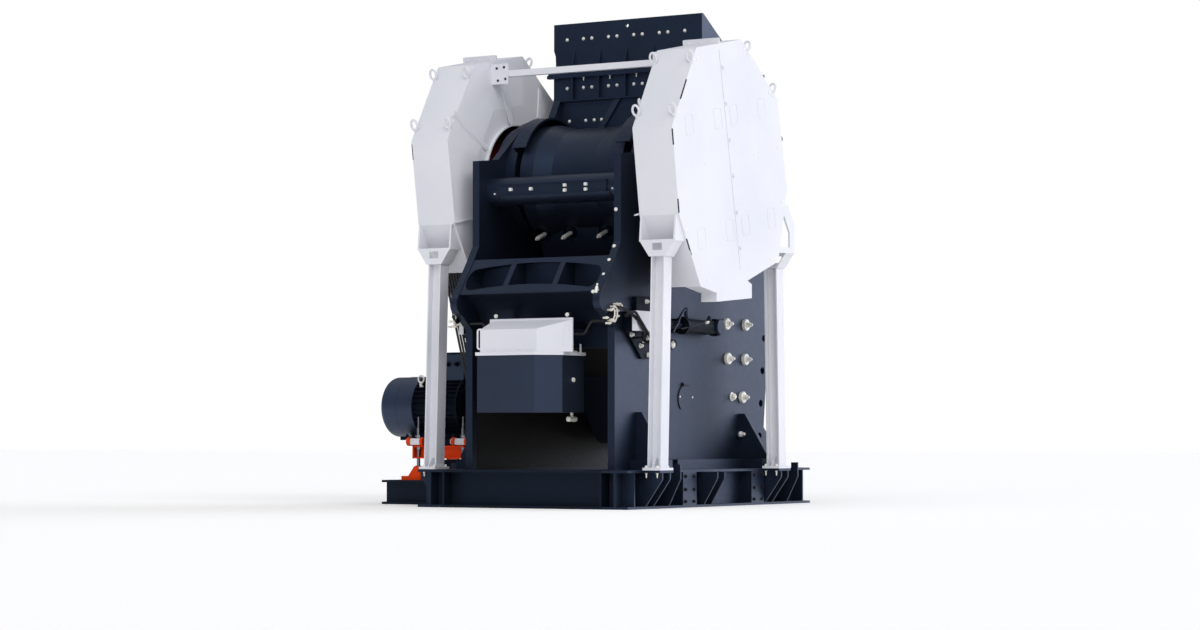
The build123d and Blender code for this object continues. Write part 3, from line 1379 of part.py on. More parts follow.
# Setting cylinders along the outside of the side plates: rear block, rod, barrel and bands
for side, sign in sides:
    with BuildPart() as setting_cylinder:
        block_x = sign * (plate_outer_x + block_width / 2)
        with BuildSketch(Plane.XZ.offset(-block_rear_y)):
            with Locations((block_x, (block_low_z + block_high_z) / 2)):
                Rectangle(block_width, block_high_z - block_low_z)
        extrude(amount=block_rear_y - cylinder_rod_rear_y)
        with BuildSketch(Plane.XZ.offset(-cylinder_rod_rear_y)):
            with Locations((sign * cylinder_x, cylinder_z)):
                Circle(cylinder_rod_radius)
        extrude(amount=cylinder_rod_rear_y - cylinder_rear_y)
        with BuildSketch(Plane.XZ.offset(-cylinder_rear_y)):
            with Locations((sign * cylinder_x, cylinder_z)):
                Circle(cylinder_radius)
        extrude(amount=cylinder_rear_y - cylinder_front_y)
        for y in (cylinder_rear_y + cylinder_band_width, cylinder_front_y - cylinder_band_width):
            band_depth = cylinder_x - plate_outer_x
            with BuildSketch(Plane.XZ.offset(-y)):
                with Locations((sign * cylinder_x, cylinder_z)):
                    Circle(cylinder_radius + stiffener_thickness)
                with Locations((sign * (plate_outer_x + band_depth / 2), cylinder_z)):
                    Rectangle(band_depth, 2 * cylinder_radius)
            extrude(amount=cylinder_band_width / 2, both=True)
    save(setting_cylinder, "setting_cylinder_" + side)

# Hydraulic hoses: on each side one from the lid's back plate to the side plate, and one round the block
hose_start_x = back_plate_half_width - hose_start_inset
hose_block_x = plate_outer_x + block_width / 2
with BuildPart() as hydraulic_hoses:
    for sign in (-1, 1):
        feed_route = (
            (sign * hose_start_x, back_plate_y + back_plate_thickness + seat_clearance, hose_start_z),
            (sign * hose_start_x, hose_turn_y, hose_start_z),
            (sign * hose_sag_x, hose_turn_y, hose_start_z),
            (sign * hose_rise_x, hose_turn_y, hose_rise_z),
            (sign * (frame_half_inside - seat_clearance), hose_turn_y, hose_rise_z),
        )
        loop_route = (
            (sign * hose_block_x, block_rear_y - seat_clearance, loop_start_z),
            (sign * hose_block_x, loop_rear_y, loop_start_z),
            (sign * loop_outer_x, loop_rear_y, loop_top_z),
            (sign * loop_outer_x, loop_front_y, loop_low_z),
            (sign * hose_block_x, loop_front_y, loop_low_z),
            (sign * hose_block_x, loop_front_y, block_low_z - seat_clearance),
        )
        for route in (feed_route, loop_route):
            with BuildLine() as hose_line:
                FilletPolyline(*route, radius=bend_radius(route))
            with BuildSketch(Plane(origin=hose_line.line @ 0, z_dir=hose_line.line % 0)):
                Circle(hose_radius)
            sweep(path=hose_line.wire())
save(hydraulic_hoses, "hydraulic_hoses")

# Motor: a finned body with feet and shaft, a domed fan cowl and a terminal box
motor_rear_x = cowl_end_x + cowl_length
feet_top_z = motor_feet_z + motor_foot_height
dome_share = 1 - math.cos(math.radians(45))
with BuildPart() as motor_body:
    with BuildSketch(Plane.YZ.offset(motor_rear_x)):
        with Locations((motor_y, motor_z)):
            Circle(motor_radius - motor_fin_height)
            with PolarLocations(motor_radius - motor_fin_height, motor_fin_count):
                Rectangle(2 * motor_fin_height, motor_fin_thickness)
    extrude(amount=motor_front_x - motor_rear_x)
    feet_middle_x = (motor_rear_x + motor_front_x) / 2
    with BuildSketch(Plane.XY.offset(motor_feet_z)):
        with Locations((feet_middle_x, motor_y)):
            Rectangle(motor_front_x - motor_rear_x - 2 * motor_foot_height, 2 * motor_feet_half_depth)
    extrude(amount=motor_foot_height)
    with BuildSketch(Plane.XY.offset(feet_top_z - joint_overlap)):
        with Locations((feet_middle_x, motor_y)):
            Rectangle(motor_front_x - motor_rear_x - 4 * motor_foot_height, motor_feet_half_depth)
    extrude(amount=motor_z - motor_radius / 2 - feet_top_z)
    with BuildSketch(Plane.YZ.offset(motor_front_x)):
        with Locations((motor_y, motor_z)):
            Circle(motor_shaft_radius)
    extrude(amount=-flywheel_inner_x - motor_front_x)
save(motor_body, "motor_body")
with BuildPart() as motor_fan_cowl:
    with BuildSketch(Plane.XZ.offset(-motor_y)):
        with BuildLine():
            edge = Polyline(
                (cowl_end_x, motor_z),
                (motor_rear_x, motor_z),
                (motor_rear_x, motor_z + cowl_radius),
                (cowl_end_x + cowl_dome, motor_z + cowl_radius),
            )
            ThreePointArc(
                edge @ 1,
                (cowl_end_x + dome_share * cowl_dome, motor_z + cowl_radius - dome_share * cowl_dome),
                (cowl_end_x, motor_z + cowl_radius - cowl_dome),
            )
            Line((cowl_end_x, motor_z + cowl_radius - cowl_dome), edge @ 0)
        make_face()
    revolve(axis=Axis((0, motor_y, motor_z), (1, 0, 0)))
save(motor_fan_cowl, "motor_fan_cowl")
with BuildPart() as motor_terminal_box:
    with BuildSketch(Plane.XY.offset(motor_z + motor_radius / 2)):
        with Locations(((terminal_low_x + terminal_high_x) / 2, motor_y)):
            Rectangle(terminal_high_x - terminal_low_x, 2 * terminal_half_depth)
    extrude(amount=terminal_top_z - motor_z - motor_radius / 2)
    with BuildSketch(Plane.YZ.offset(terminal_low_x)):
        with Locations((motor_y, motor_z)):
            Circle(motor_radius + seat_clearance)
    extrude(amount=terminal_high_x - terminal_low_x, mode=Mode.SUBTRACT)
save(motor_terminal_box, "motor_terminal_box")

# Motor pulley with the same grooves as the left flywheel
pulley_half = belt_count * belt_pitch / 2 + belt_width / 2
with BuildPart() as motor_pulley:
    section = [
        (flywheel_middle_x - pulley_half, motor_shaft_radius + seat_clearance),
        (flywheel_middle_x + pulley_half, motor_shaft_radius + seat_clearance),
        (flywheel_middle_x + pulley_half, pulley_radius),
    ]
    section += groove_points(pulley_radius, seat_clearance)
    section += [(flywheel_middle_x - pulley_half, pulley_radius)]
    with BuildSketch(Plane.XZ.offset(-motor_y)):
        outline_face(*[(-x, motor_z + r) for x, r in section])
    revolve(axis=Axis((0, motor_y, motor_z), (1, 0, 0)))
save(motor_pulley, "motor_pulley")

# One V belt round the left flywheel and the pulley, then a copy of it in each groove
flat_cos, flat_sin = math.cos(belt_rise), math.sin(belt_rise)
belt_mid = belt_height / 2
with BuildPart() as single_belt:
    with BuildLine(Plane.YZ) as belt_loop:
        big, small = flywheel_radius - belt_mid, pulley_radius - belt_mid
        top_arc = ThreePointArc(
            (shaft_y + big * flat_cos, shaft_z - big * flat_sin),
            (shaft_y, shaft_z + big),
            (shaft_y - big * flat_cos, shaft_z - big * flat_sin),
        )
        low_arc = ThreePointArc(
            (motor_y - small * flat_cos, motor_z - small * flat_sin),
            (motor_y, motor_z - small),
            (motor_y + small * flat_cos, motor_z - small * flat_sin),
        )
        Line(top_arc @ 1, low_arc @ 0)
        Line(low_arc @ 1, top_arc @ 0)
    with BuildSketch(Plane(origin=top_arc @ 0, x_dir=(1, 0, 0), z_dir=top_arc % 0)):
        outline_face(
            (-belt_width / 2, belt_mid),
            (belt_width / 2, belt_mid),
            (belt_width / 2 - belt_taper, -belt_mid),
            (-belt_width / 2 + belt_taper, -belt_mid),
        )
    sweep(path=belt_loop.wire())
with BuildPart() as drive_belts:
    for i in range(belt_count):
        with Locations((-flywheel_middle_x + ((belt_count - 1) / 2 - i) * belt_pitch, 0, 0)):
            add(single_belt.part)
save(drive_belts, "drive_belts")

# Tilting motor base: a plate between cheeks, hinged at the front and held by two threaded rods
tilt_low_z = motor_feet_z - tilt_plate_thickness
tilt_middle_y = (tilt_rear_y + tilt_front_y) / 2
with BuildPart() as motor_tilt_base:
    with BuildSketch(Plane.XY.offset(tilt_low_z)):
        with Locations(((tilt_left_x + tilt_right_x) / 2, tilt_middle_y)):
            Rectangle(tilt_right_x - tilt_left_x, tilt_front_y - tilt_rear_y)
    extrude(amount=tilt_plate_thickness)
    for x in (tilt_left_x + tilt_lug_thickness, tilt_right_x - tilt_lug_thickness):
        with BuildSketch(Plane.YZ.offset(x)):
            outline_face(
                (front_motor_beam_y - motor_beam_width / 2, motor_beam_height),
                (front_motor_beam_y + motor_beam_width / 2, motor_beam_height),
                (tilt_front_y, tilt_low_z + joint_overlap),
                (tilt_front_y - motor_beam_width, tilt_low_z + joint_overlap),
            )
        extrude(amount=tilt_lug_thickness / 2, both=True)
    for x in (tilt_rod_left_x, tilt_rod_right_x):
        with BuildSketch(Plane.XY.offset(motor_beam_height)):
            with Locations((x, tilt_rear_y + tilt_rod_radius)):
                Rectangle(2 * tilt_lug_thickness, 2 * tilt_lug_thickness)
        extrude(amount=tilt_lug_thickness)
        with BuildSketch(Plane.XY.offset(motor_beam_height)):
            with Locations((x, tilt_rear_y + tilt_rod_radius)):
                Circle(tilt_rod_radius)
        extrude(amount=motor_feet_z + tilt_rod_rise - motor_beam_height)
save(motor_tilt_base, "motor_tilt_base")
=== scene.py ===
# %% [markdown]
# # A jaw crusher on its base frame
# The machine breaks rock between a fixed jaw at its front and a swing jaw that hangs on an eccentric shaft.
# Two flywheels carry it through each stroke, each behind a white sheet-metal guard, and a motor on an
# orange tilting base drives the left wheel by V belts. The rigid model comes ready-made, so this lesson
# gives each part its paint, steel or rubber and adds what is too fine for the model: bolts, hatches,
# lifting eyes, hoses and valves. All lengths are in metres. +Z is up and +X is the right side.

# %% Load the model
import math
import bpy
import numpy as np
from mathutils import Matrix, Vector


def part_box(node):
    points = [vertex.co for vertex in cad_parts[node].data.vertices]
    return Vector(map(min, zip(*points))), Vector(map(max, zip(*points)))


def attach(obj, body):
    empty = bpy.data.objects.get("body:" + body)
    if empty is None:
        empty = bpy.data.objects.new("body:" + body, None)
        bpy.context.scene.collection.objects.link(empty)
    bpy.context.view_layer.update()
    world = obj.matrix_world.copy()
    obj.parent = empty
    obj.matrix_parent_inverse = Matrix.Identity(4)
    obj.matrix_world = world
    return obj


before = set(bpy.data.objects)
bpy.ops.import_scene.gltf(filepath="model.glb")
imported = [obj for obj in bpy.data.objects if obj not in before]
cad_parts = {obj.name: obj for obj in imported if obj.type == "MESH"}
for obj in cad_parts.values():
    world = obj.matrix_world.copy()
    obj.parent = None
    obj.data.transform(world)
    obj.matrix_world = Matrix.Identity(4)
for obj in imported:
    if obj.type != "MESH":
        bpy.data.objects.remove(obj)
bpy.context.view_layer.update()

# %% [markdown]
# ## Camera
# The photograph is taken from behind the machine's right side, from low down and far away. A long lens
# keeps upright edges nearly parallel. The camera's place comes from measuring a dozen corners in the
# picture, and its pitch of a little over two degrees upwards brings the top of the hopper into view.

# %% Camera
lens_pixels = 2991.75
picture_width = 1200
film_width = 36
pitch_up, heading = 2.386, 30.99
camera_data = bpy.data.cameras.new("camera")
camera_data.sensor_width = film_width
camera_data.lens = film_width * lens_pixels / picture_width
camera_data.clip_end = 500
camera = bpy.data.objects.new("camera", camera_data)
bpy.context.collection.objects.link(camera)
camera.location = (15.9418, -26.9527, 0.680)
camera.rotation_euler = (math.radians(90 + pitch_up), 0, math.radians(heading))
bpy.context.scene.camera = camera
bpy.context.scene.view_settings.view_transform = "Standard"
print("lens", round(camera_data.lens, 2), "mm")

# %% [markdown]
# ## Colours and shader nodes
# A colour picked from a screen is stored with a curve on it, and a shader wants plain light values, so one
# function straightens it. Another adds a node and fills its inputs, either with a value or with a link from
# the node before it, which keeps each material short enough to read.

# %% Helpers for materials
def paint(code):
    """Screen colour such as #2A3242 as linear light: ((c + 0.055) / 1.055) to the power 2.4."""
    parts = np.array([int(code[i:i + 2], 16) for i in (1, 3, 5)]) / 255
    light = np.where(parts <= 0.04045, parts / 12.92, ((parts + 0.055) / 1.055) ** 2.4)
    return (*light.tolist(), 1.0)


def feed(tree, node, inputs):
    """Gives each (input, value) pair its value, or joins it where the value is another node's output."""
    for place, value in inputs:
        if isinstance(value, bpy.types.NodeSocket):
            tree.links.new(value, node.inputs[place])
        else:
            node.inputs[place].default_value = value


def add_node(tree, kind, inputs=(), **options):
    """Adds a shader node, sets its options and feeds its inputs."""
    node = tree.nodes.new(kind)
    for key, value in options.items():
        setattr(node, key, value)
    feed(tree, node, inputs)
    return node


mix_share, mix_first, mix_second, mix_result = 0, 6, 7, 2
print("mid grey as linear light:", round(paint("#808080")[0], 3))

# %% [markdown]
# ## Machine paint
# The frame is welded plate under thick blue-grey enamel. Real enamel is never one flat colour: it is a
# little uneven where the spray passes overlap, it has a fine orange-peel skin, and dust settles in spots.
# One function makes every paint on the machine from a main colour and a second one that clouds it. Real
# orange peel is about 1 mm wide and wouldn't show from here, so it is drawn at about 4 mm.

# %% Paint
peel_per_metre = 240.0
dust_spots_per_metre = 14.0
peel_depth = 0.0004


def enamel(name, main, cloud, roughness, peel, clouds=1.6, dust="#6B6E74", dust_share=0.01, shine=0.6,
           tint="#A6C7FF"):
    """Sprayed paint. Colour = main mixed with cloud by smooth noise, then with dust by a finer noise.

    There are as many clouds to a metre as said. Shine and tint are the strength and colour of reflections.
    """
    material = bpy.data.materials.new(name)
    material.use_nodes = True
    tree = material.node_tree
    place = add_node(tree, "ShaderNodeTexCoord").outputs["Object"]
    noise = "ShaderNodeTexNoise"
    patches = add_node(tree, noise, [("Vector", place), ("Scale", clouds), ("Detail", 5.0)])
    skin = add_node(tree, noise, [("Vector", place), ("Scale", peel_per_metre), ("Detail", 2.0)])
    spots = add_node(tree, noise, [("Vector", place), ("Scale", dust_spots_per_metre), ("Detail", 6.0)])
    spread = add_node(tree, "ShaderNodeMapRange", [
        ("Value", patches.outputs["Fac"]), ("From Min", 0.35), ("From Max", 0.65)])
    mixed = add_node(tree, "ShaderNodeMix", [
        (mix_share, spread.outputs["Result"]), (mix_first, paint(main)), (mix_second, paint(cloud)),
    ], data_type="RGBA")
    share = add_node(tree, "ShaderNodeMath", [
        (0, spots.outputs["Fac"]), (1, dust_share)], operation="MULTIPLY")
    dusty = add_node(tree, "ShaderNodeMix", [
        (mix_share, share.outputs[0]), (mix_first, mixed.outputs[mix_result]), (mix_second, paint(dust)),
    ], data_type="RGBA")
    gloss = add_node(tree, "ShaderNodeMapRange", [
        ("Value", spots.outputs["Fac"]), ("To Min", roughness - 0.06), ("To Max", roughness + 0.08)])
    bump = add_node(tree, "ShaderNodeBump", [
        ("Height", skin.outputs["Fac"]), ("Distance", peel_depth), ("Strength", peel)])
    feed(tree, tree.nodes["Principled BSDF"], [
        ("Base Color", dusty.outputs[mix_result]), ("Roughness", gloss.outputs["Result"]),
        ("Specular IOR Level", shine), ("Specular Tint", paint(tint)), ("Normal", bump.outputs["Normal"])])
    return material


# %% [markdown]
# The blue-greys are one family. The frame's is the middle one, and a low bluish reflection lifts it on
# upright faces. Covers and the motor's cowl are a step lighter, and the cylinders and other small parts
# almost black. The hopper has a lighter copy of the frame's paint, which is painted light, and the base and
# the motor's base frame a darker copy with a weaker reflection, which is painted shade on faces turned from
# the lamps; the base's side beams keep the frame's own paint. White guards are satin, so that folds show as
# soft steps of grey.

# %% The machine's paints
white, warm = "#FFFFFF", "#FFC8A8"
lighter = {"shine": 0.7, "tint": "#B8D2FF"}
frame_enamel = enamel("blue_grey_enamel", "#0D1119", "#121824", 0.42, 0.25)
cover_enamel = enamel("cover_blue_grey_enamel", "#191F2B", "#1E2532", 0.45, 0.2, 1.2, **lighter)
guard_enamel = enamel("white_enamel", "#E2E2E7", "#DADBE2", 0.50, 0.15, 0.9, "#B9B4AA", 0.05, 0.3, white)
wheel_enamel = enamel("dark_red_enamel", "#6A0A08", "#560606", 0.45, 0.2, 1.4, "#4A3A34", 0.08, 0.5, white)
motor_enamel = enamel("motor_blue_grey_enamel", "#1B212E", "#202735", 0.42, 0.3, 3.0, **lighter)
cowl_enamel = enamel("cowl_blue_grey_enamel", "#202838", "#252E40", 0.42, 0.3, 3.0, **lighter)
# A lighter copy of the frame's paint: painted light on the hopper's faces
hopper_lit_enamel = enamel("hopper_lit_blue_grey_enamel", "#10151F", "#151D2B", 0.42, 0.25)
# A darker copy of the frame's paint with a weaker reflection: painted shade for beams that face away from the
# lamps
base_shade_enamel = enamel("base_shaded_blue_grey_enamel", "#090C12", "#0D121A", 0.48, 0.25, shine=0.35)
dark_enamel = enamel("blue_black_enamel", "#080B12", "#0C1018", 0.50, 0.25, 3.0, dust_share=0.0, shine=0.13)
orange_enamel = enamel("orange_enamel", "#EE4508", "#DC3C06", 0.40, 0.2, 4.0, "#8A5A40", 0.02, 0.3, warm)
print("paints:", len(bpy.data.materials))

# %% [markdown]
# ## Steel and rubber
# Cast wear plates are dark, rough manganese steel, shafts are turned and oiled, fasteners are zinc plated,
# and V belts are matt black rubber. Each is the same few nodes with its own colours and roughness. Plating
# has a thin pale skin that scatters light, so it counts as only a little metallic and stays bright in shade.

# %% Steel and rubber
def metal(name, bright, dull, roughness, metallic, patches, depth):
    """Bare or plated metal. Colour and roughness follow one noise, and one nine times finer raises it."""
    material = bpy.data.materials.new(name)
    material.use_nodes = True
    tree = material.node_tree
    place = add_node(tree, "ShaderNodeTexCoord").outputs["Object"]
    noise = "ShaderNodeTexNoise"
    coarse = add_node(tree, noise, [("Vector", place), ("Scale", patches), ("Detail", 6.0)])
    fine = add_node(tree, noise, [("Vector", place), ("Scale", patches * 9), ("Detail", 3.0)])
    mixed = add_node(tree, "ShaderNodeMix", [
        (mix_share, coarse.outputs["Fac"]), (mix_first, paint(bright)), (mix_second, paint(dull)),
    ], data_type="RGBA")
    gloss = add_node(tree, "ShaderNodeMapRange", [
        ("Value", coarse.outputs["Fac"]), ("To Min", roughness - 0.08), ("To Max", roughness + 0.1)])
    bump = add_node(tree, "ShaderNodeBump", [
        ("Height", fine.outputs["Fac"]), ("Distance", depth), ("Strength", 0.5)])
    feed(tree, tree.nodes["Principled BSDF"], [
        ("Base Color", mixed.outputs[mix_result]), ("Roughness", gloss.outputs["Result"]),
        ("Metallic", metallic), ("Normal", bump.outputs["Normal"])])
    return material


cast_steel = metal("cast_manganese_steel", "#1A1D24", "#101218", 0.55, 0.6, 6.0, 0.003)
turned_steel = metal("turned_steel", "#8E9096", "#6C6E74", 0.30, 1.0, 12.0, 0.0005)
zinc = metal("zinc_plated_steel", "#F6F4EE", "#DAD7CC", 0.32, 0.12, 40.0, 0.0003)
nickel = metal("nickel_plated_brass", "#F4F4F2", "#DADAD6", 0.30, 0.2, 30.0, 0.0001)
brass = metal("pale_brass", "#F4F0E8", "#DCD5C6", 0.32, 0.15, 40.0, 0.0002)
black_oxide = metal("black_oxide_steel", "#0D0F14", "#07090C", 0.50, 0.4, 50.0, 0.0003)
belt_rubber = metal("belt_rubber", "#0A0D13", "#06080C", 0.60, 0.0, 30.0, 0.0006)
print("materials:", len(bpy.data.materials))

# %% [markdown]
# ## Finishes on the model's own parts
# Each rigid part that keeps its own shape only needs its material. The part's slots are filled in one loop,
# from a table of name beginnings, where the first that fits counts.

# %% Finishes
finishes = {
    # The base's side beams keep the frame's paint; the rest of the base and the motor's base frame take its
    # darker copy, a painted shade
    "base_side_beam_": frame_enamel,
    "base_": base_shade_enamel,
    # The hopper's lighter copy of the frame's paint is painted light
    "hopper_": hopper_lit_enamel,
    "setting_cylinder_": dark_enamel,
    "guard_": guard_enamel,
    "service_box_lid": guard_enamel,
    "service_box_body": cover_enamel,
    "flywheel_": wheel_enamel,
    "motor_tilt_base": orange_enamel,
    "motor_base_frame": base_shade_enamel,
    "motor_body": dark_enamel,
    "motor_fan_cowl": cowl_enamel,
    "motor_terminal_box": motor_enamel,
    "motor_pulley": cast_steel,
    "drive_belts": belt_rubber,
    "hydraulic_hoses": belt_rubber,
    "fixed_jaw_plate": cast_steel,
    "moving_jaw_plate": cast_steel,
    "cheek_plate_": cast_steel,
    "toggle_plate": cast_steel,
    "eccentric_shaft": turned_steel,
}
for name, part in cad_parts.items():
    chosen = next((value for start, value in finishes.items() if name.startswith(start)), frame_enamel)
    for place in part.material_slots:
        place.material = chosen
print("finishes set on", len(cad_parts), "parts")

# %% [markdown]
# ## Shapes from numbers
# Small parts come from three kinds of surface. A turned shape is a radius for each height, spun round an
# axis; with six sides it is a hexagon head. A slab is a flat outline with a thickness. A swept shape is a
# section carried along a path. Each is worked out as whole arrays, and one call can make many copies.

# %% Directions, circles and mirrored places
def axes_for(axis):
    """Unit vectors u, v and a, where a is the axis and u, v are square to it and to each other."""
    a = np.array(axis, float) / np.linalg.norm(axis)
    helper = np.array([0, 0, 1.0]) if abs(a[2]) < 0.9 else np.array([1.0, 0, 0])
    u = np.cross(helper, a) / np.linalg.norm(np.cross(helper, a))
    return u, np.cross(a, u), a


def turns(count):
    """Equal steps round a full turn: 0, 1, 2 and so on, times 2 pi / count."""
    return np.arange(count) * 2 * np.pi / count


def arc(centre, first, second, angles):
    """Point = centre + cos(angle) * first + sin(angle) * second, for each angle."""
    angles = np.array(angles)[:, None]
    return np.array(centre, float) + np.cos(angles) * np.array(first) + np.sin(angles) * np.array(second)


def disc(radius, sides):
    """Corner places of a round section, anticlockwise."""
    return arc((0, 0), (radius, 0), (0, radius), turns(sides))


def rounded_box(width, height, corner, steps=4):
    """Outline of a box with round corners, anticlockwise: quarter circles about four inner corners."""
    rows = []
    for turn, (sx, sy) in enumerate(((1, 1), (-1, 1), (-1, -1), (1, -1))):
        angles = turn * np.pi / 2 + np.linspace(0, np.pi / 2, steps)
        inner = (sx * (width / 2 - corner), sy * (height / 2 - corner))
        rows.append(arc(inner, (corner, 0), (0, corner), angles))
    return np.concatenate(rows)


def mirrored(sign, places):
    """The places as an array, with x times sign: 1 keeps them on the right, -1 moves them to the left."""
    return np.array(places, float) * (sign, 1, 1)


both_sides = (("left", -1), ("right", 1))
print("a circle of 12 starts at", disc(1.0, 12)[0])

# %% [markdown]
# The three surfaces follow. Every shape is a pair: an array of points and a list of faces, whose corners run
# anticlockwise seen from outside, so that the light falls on the right side of each face.

# %% Turned shapes, slabs and swept shapes
def grid_faces(rows, columns, wrap_rows=False):
    """Quads of a grid that closes round its columns: each cell joins its row to the next one."""
    row = np.arange(rows if wrap_rows else rows - 1)[:, None]
    column = np.arange(columns)[None, :]
    here, above = row * columns, (row + 1) % rows * columns
    after = (column + 1) % columns
    return np.stack([here + column, here + after, above + after, above + column], -1).reshape(-1, 4)


def turned(profile, sides, centres, axis):
    """Point = centre + height * a + radius * (cos(angle) u + sin(angle) v), for each (radius, height) row."""
    u, v, a = axes_for(axis)
    radius, height = np.array(profile, float).T
    spoke = arc((0, 0, 0), u, v, turns(sides))
    one = radius[:, None, None] * spoke[None] + height[:, None, None] * a
    centres = np.atleast_2d(np.array(centres, float))
    points = (centres[:, None, None] + one[None]).reshape(-1, 3)
    shift = (np.arange(len(centres)) * len(radius) * sides)[:, None]
    faces = (grid_faces(len(radius), sides)[None] + shift[:, :, None]).reshape(-1, 4).tolist()
    low = np.arange(sides)[::-1]
    high = np.arange(sides) + (len(radius) - 1) * sides
    return points, faces + (low[None] + shift).tolist() + (high[None] + shift).tolist()


def slab(outline, origins, along, across, thickness):
    """Flat outline in the plane of two directions, from each origin, thick along their cross product."""
    along, across, outline = np.array(along, float), np.array(across, float), np.array(outline, float)
    base = outline[:, :1] * along + outline[:, 1:] * across
    one = np.concatenate([base, base + thickness * np.cross(along, across)])
    origins = np.atleast_2d(np.array(origins, float))
    points = (origins[:, None] + one[None]).reshape(-1, 3)
    count = len(outline)
    shift = (np.arange(len(origins)) * 2 * count)[:, None]
    faces = (grid_faces(2, count)[None] + shift[:, :, None]).reshape(-1, 4).tolist()
    low, high = np.arange(count)[::-1], np.arange(count) + count
    return points, faces + (low[None] + shift).tolist() + (high[None] + shift).tolist()


def side_slab(way, x, outline, thickness):
    """Slab of a (y, z) outline that starts at x and grows along X where way is 1, and against it at -1."""
    outline = np.array(outline, float)
    if way > 0:
        return slab(outline, (x, 0, 0), (0, 1, 0), (0, 0, 1), thickness)
    return slab(outline[::-1, ::-1], (x, 0, 0), (0, 0, 1), (0, 1, 0), thickness)


def swept(section, path, up, closed=False):
    """Point = path + first * side + second * up, where side is square to the path's direction and to up."""
    path, section = np.array(path, float), np.array(section, float)
    up = np.array(up, float) / np.linalg.norm(up)
    way = np.roll(path, -1, 0) - np.roll(path, 1, 0) if closed else np.gradient(path, axis=0)
    side = np.cross(way, up)
    side /= np.linalg.norm(side, axis=1)[:, None]
    points = path[:, None] + section[None, :, :1] * side[:, None] + section[None, :, 1:] * up
    count = len(section)
    faces = grid_faces(len(path), count, closed)[:, ::-1].tolist()
    if not closed:
        faces += [list(range(count)), [(len(path) - 1) * count + i for i in reversed(range(count))]]
    return points.reshape(-1, 3), faces


def joined(*shapes):
    """One list of points and faces from several, each one's face numbers moved up past those before it."""
    sizes = np.cumsum([0] + [len(points) for points, faces in shapes])
    points = np.concatenate([points for points, faces in shapes])
    faces = [[int(start + i) for i in face] for start, shape in zip(sizes, shapes) for face in shape[1]]
    return points, faces


x_way, y_way, z_way = (1, 0, 0), (0, 1, 0), (0, 0, 1)
print("a hexagon head has", len(turned([(1, 0), (1, 1)], 6, (0, 0, 0), z_way)[1]), "faces")

# %% [markdown]
# ## One way to add a piece
# A shape becomes an object that stays at the origin, with its place in its points, and rides on one body.

# %% Adding a piece
finish_of = {
    guard_enamel.name: "guard_paint",
    orange_enamel.name: "motor_paint",
    cowl_enamel.name: "cowl_grey",
    belt_rubber.name: "belt_rubber",
}
finish_of.update({steel.name: "shaft_steel" for steel in (turned_steel, zinc, nickel, brass, black_oxide)})
sharp_edge = math.radians(35)


def add_piece(name, shape, material, body="frame", slot=None, smooth=True):
    """Makes one object at the origin from a shape and lets it ride on a body."""
    mesh = bpy.data.meshes.new(name)
    mesh.from_pydata(shape[0].tolist(), [], shape[1])
    mesh.materials.append(material)
    if smooth:
        mesh.shade_smooth()
        mesh.set_sharp_from_angle(angle=sharp_edge)
    piece = bpy.data.objects.new(name, mesh)
    bpy.context.collection.objects.link(piece)
    slot = slot or finish_of.get(material.name, "frame_paint")
    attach(piece, body)


print("finishes with a slot of their own:", len(finish_of))

# %% [markdown]
# ## Bolts
# Every joint on the machine is bolted, and the pale plated heads are the brightest small things on the dark
# paint. A bolt here is a washer, a hexagon nut with a chamfer, and the end of the threaded stud, all turned
# shapes. The sizes are those of real bolts: a nut is about 1.5 to 1.6 times its thread across the flats. A
# domed head is a quarter of an ellipse, turned.

# %% Bolt patterns
def bolts(centres, axis, thread, washer_scale, washer_height, stud):
    """Washer, nut and stud end at each centre. Heights are shares of the thread's diameter."""
    across = 1.55 * thread
    corner = across / math.sqrt(3)
    wash, lift = washer_scale * corner, washer_height * thread
    head = lift + 0.8 * thread
    profiles = [
        ([(wash, 0), (wash, 0.8 * lift), (0.96 * wash, lift)], 20),
        ([(corner, lift), (corner, head - 0.1 * thread), (0.9 * corner, head)], 6),
    ]
    if stud:
        top = head + stud * thread
        stud_profile = [(0.5 * thread, head), (0.5 * thread, top - 0.12 * thread), (0.38 * thread, top)]
        profiles.append((stud_profile, 12))
    return joined(*[turned(profile, sides, centres, axis) for profile, sides in profiles])


def domes(centres, axis, radius, height, sides=20):
    """Domed heads: half an ellipse of the given radius and height, turned, on a thin round washer."""
    angle = np.linspace(0, 0.46 * np.pi, 6)
    profile = [(1.12 * radius, -0.001), (1.12 * radius, 0.12 * height)]
    profile += list(zip(radius * np.cos(angle), 0.12 * height + height * np.sin(angle)))
    return turned(profile, sides, centres, axis)


print("one bolt has", len(bolts((0, 0, 0), z_way, 0.030, 1.15, 0.12, 0.35)[1]), "faces")

# %% [markdown]
# ## Bolts of the side plates
# Long tension bolts hold the front wall and the cheek plates. Their ends stand out of the side plate, each
# through a thick round seat. Both side plates are the same, so each row is made on both sides.

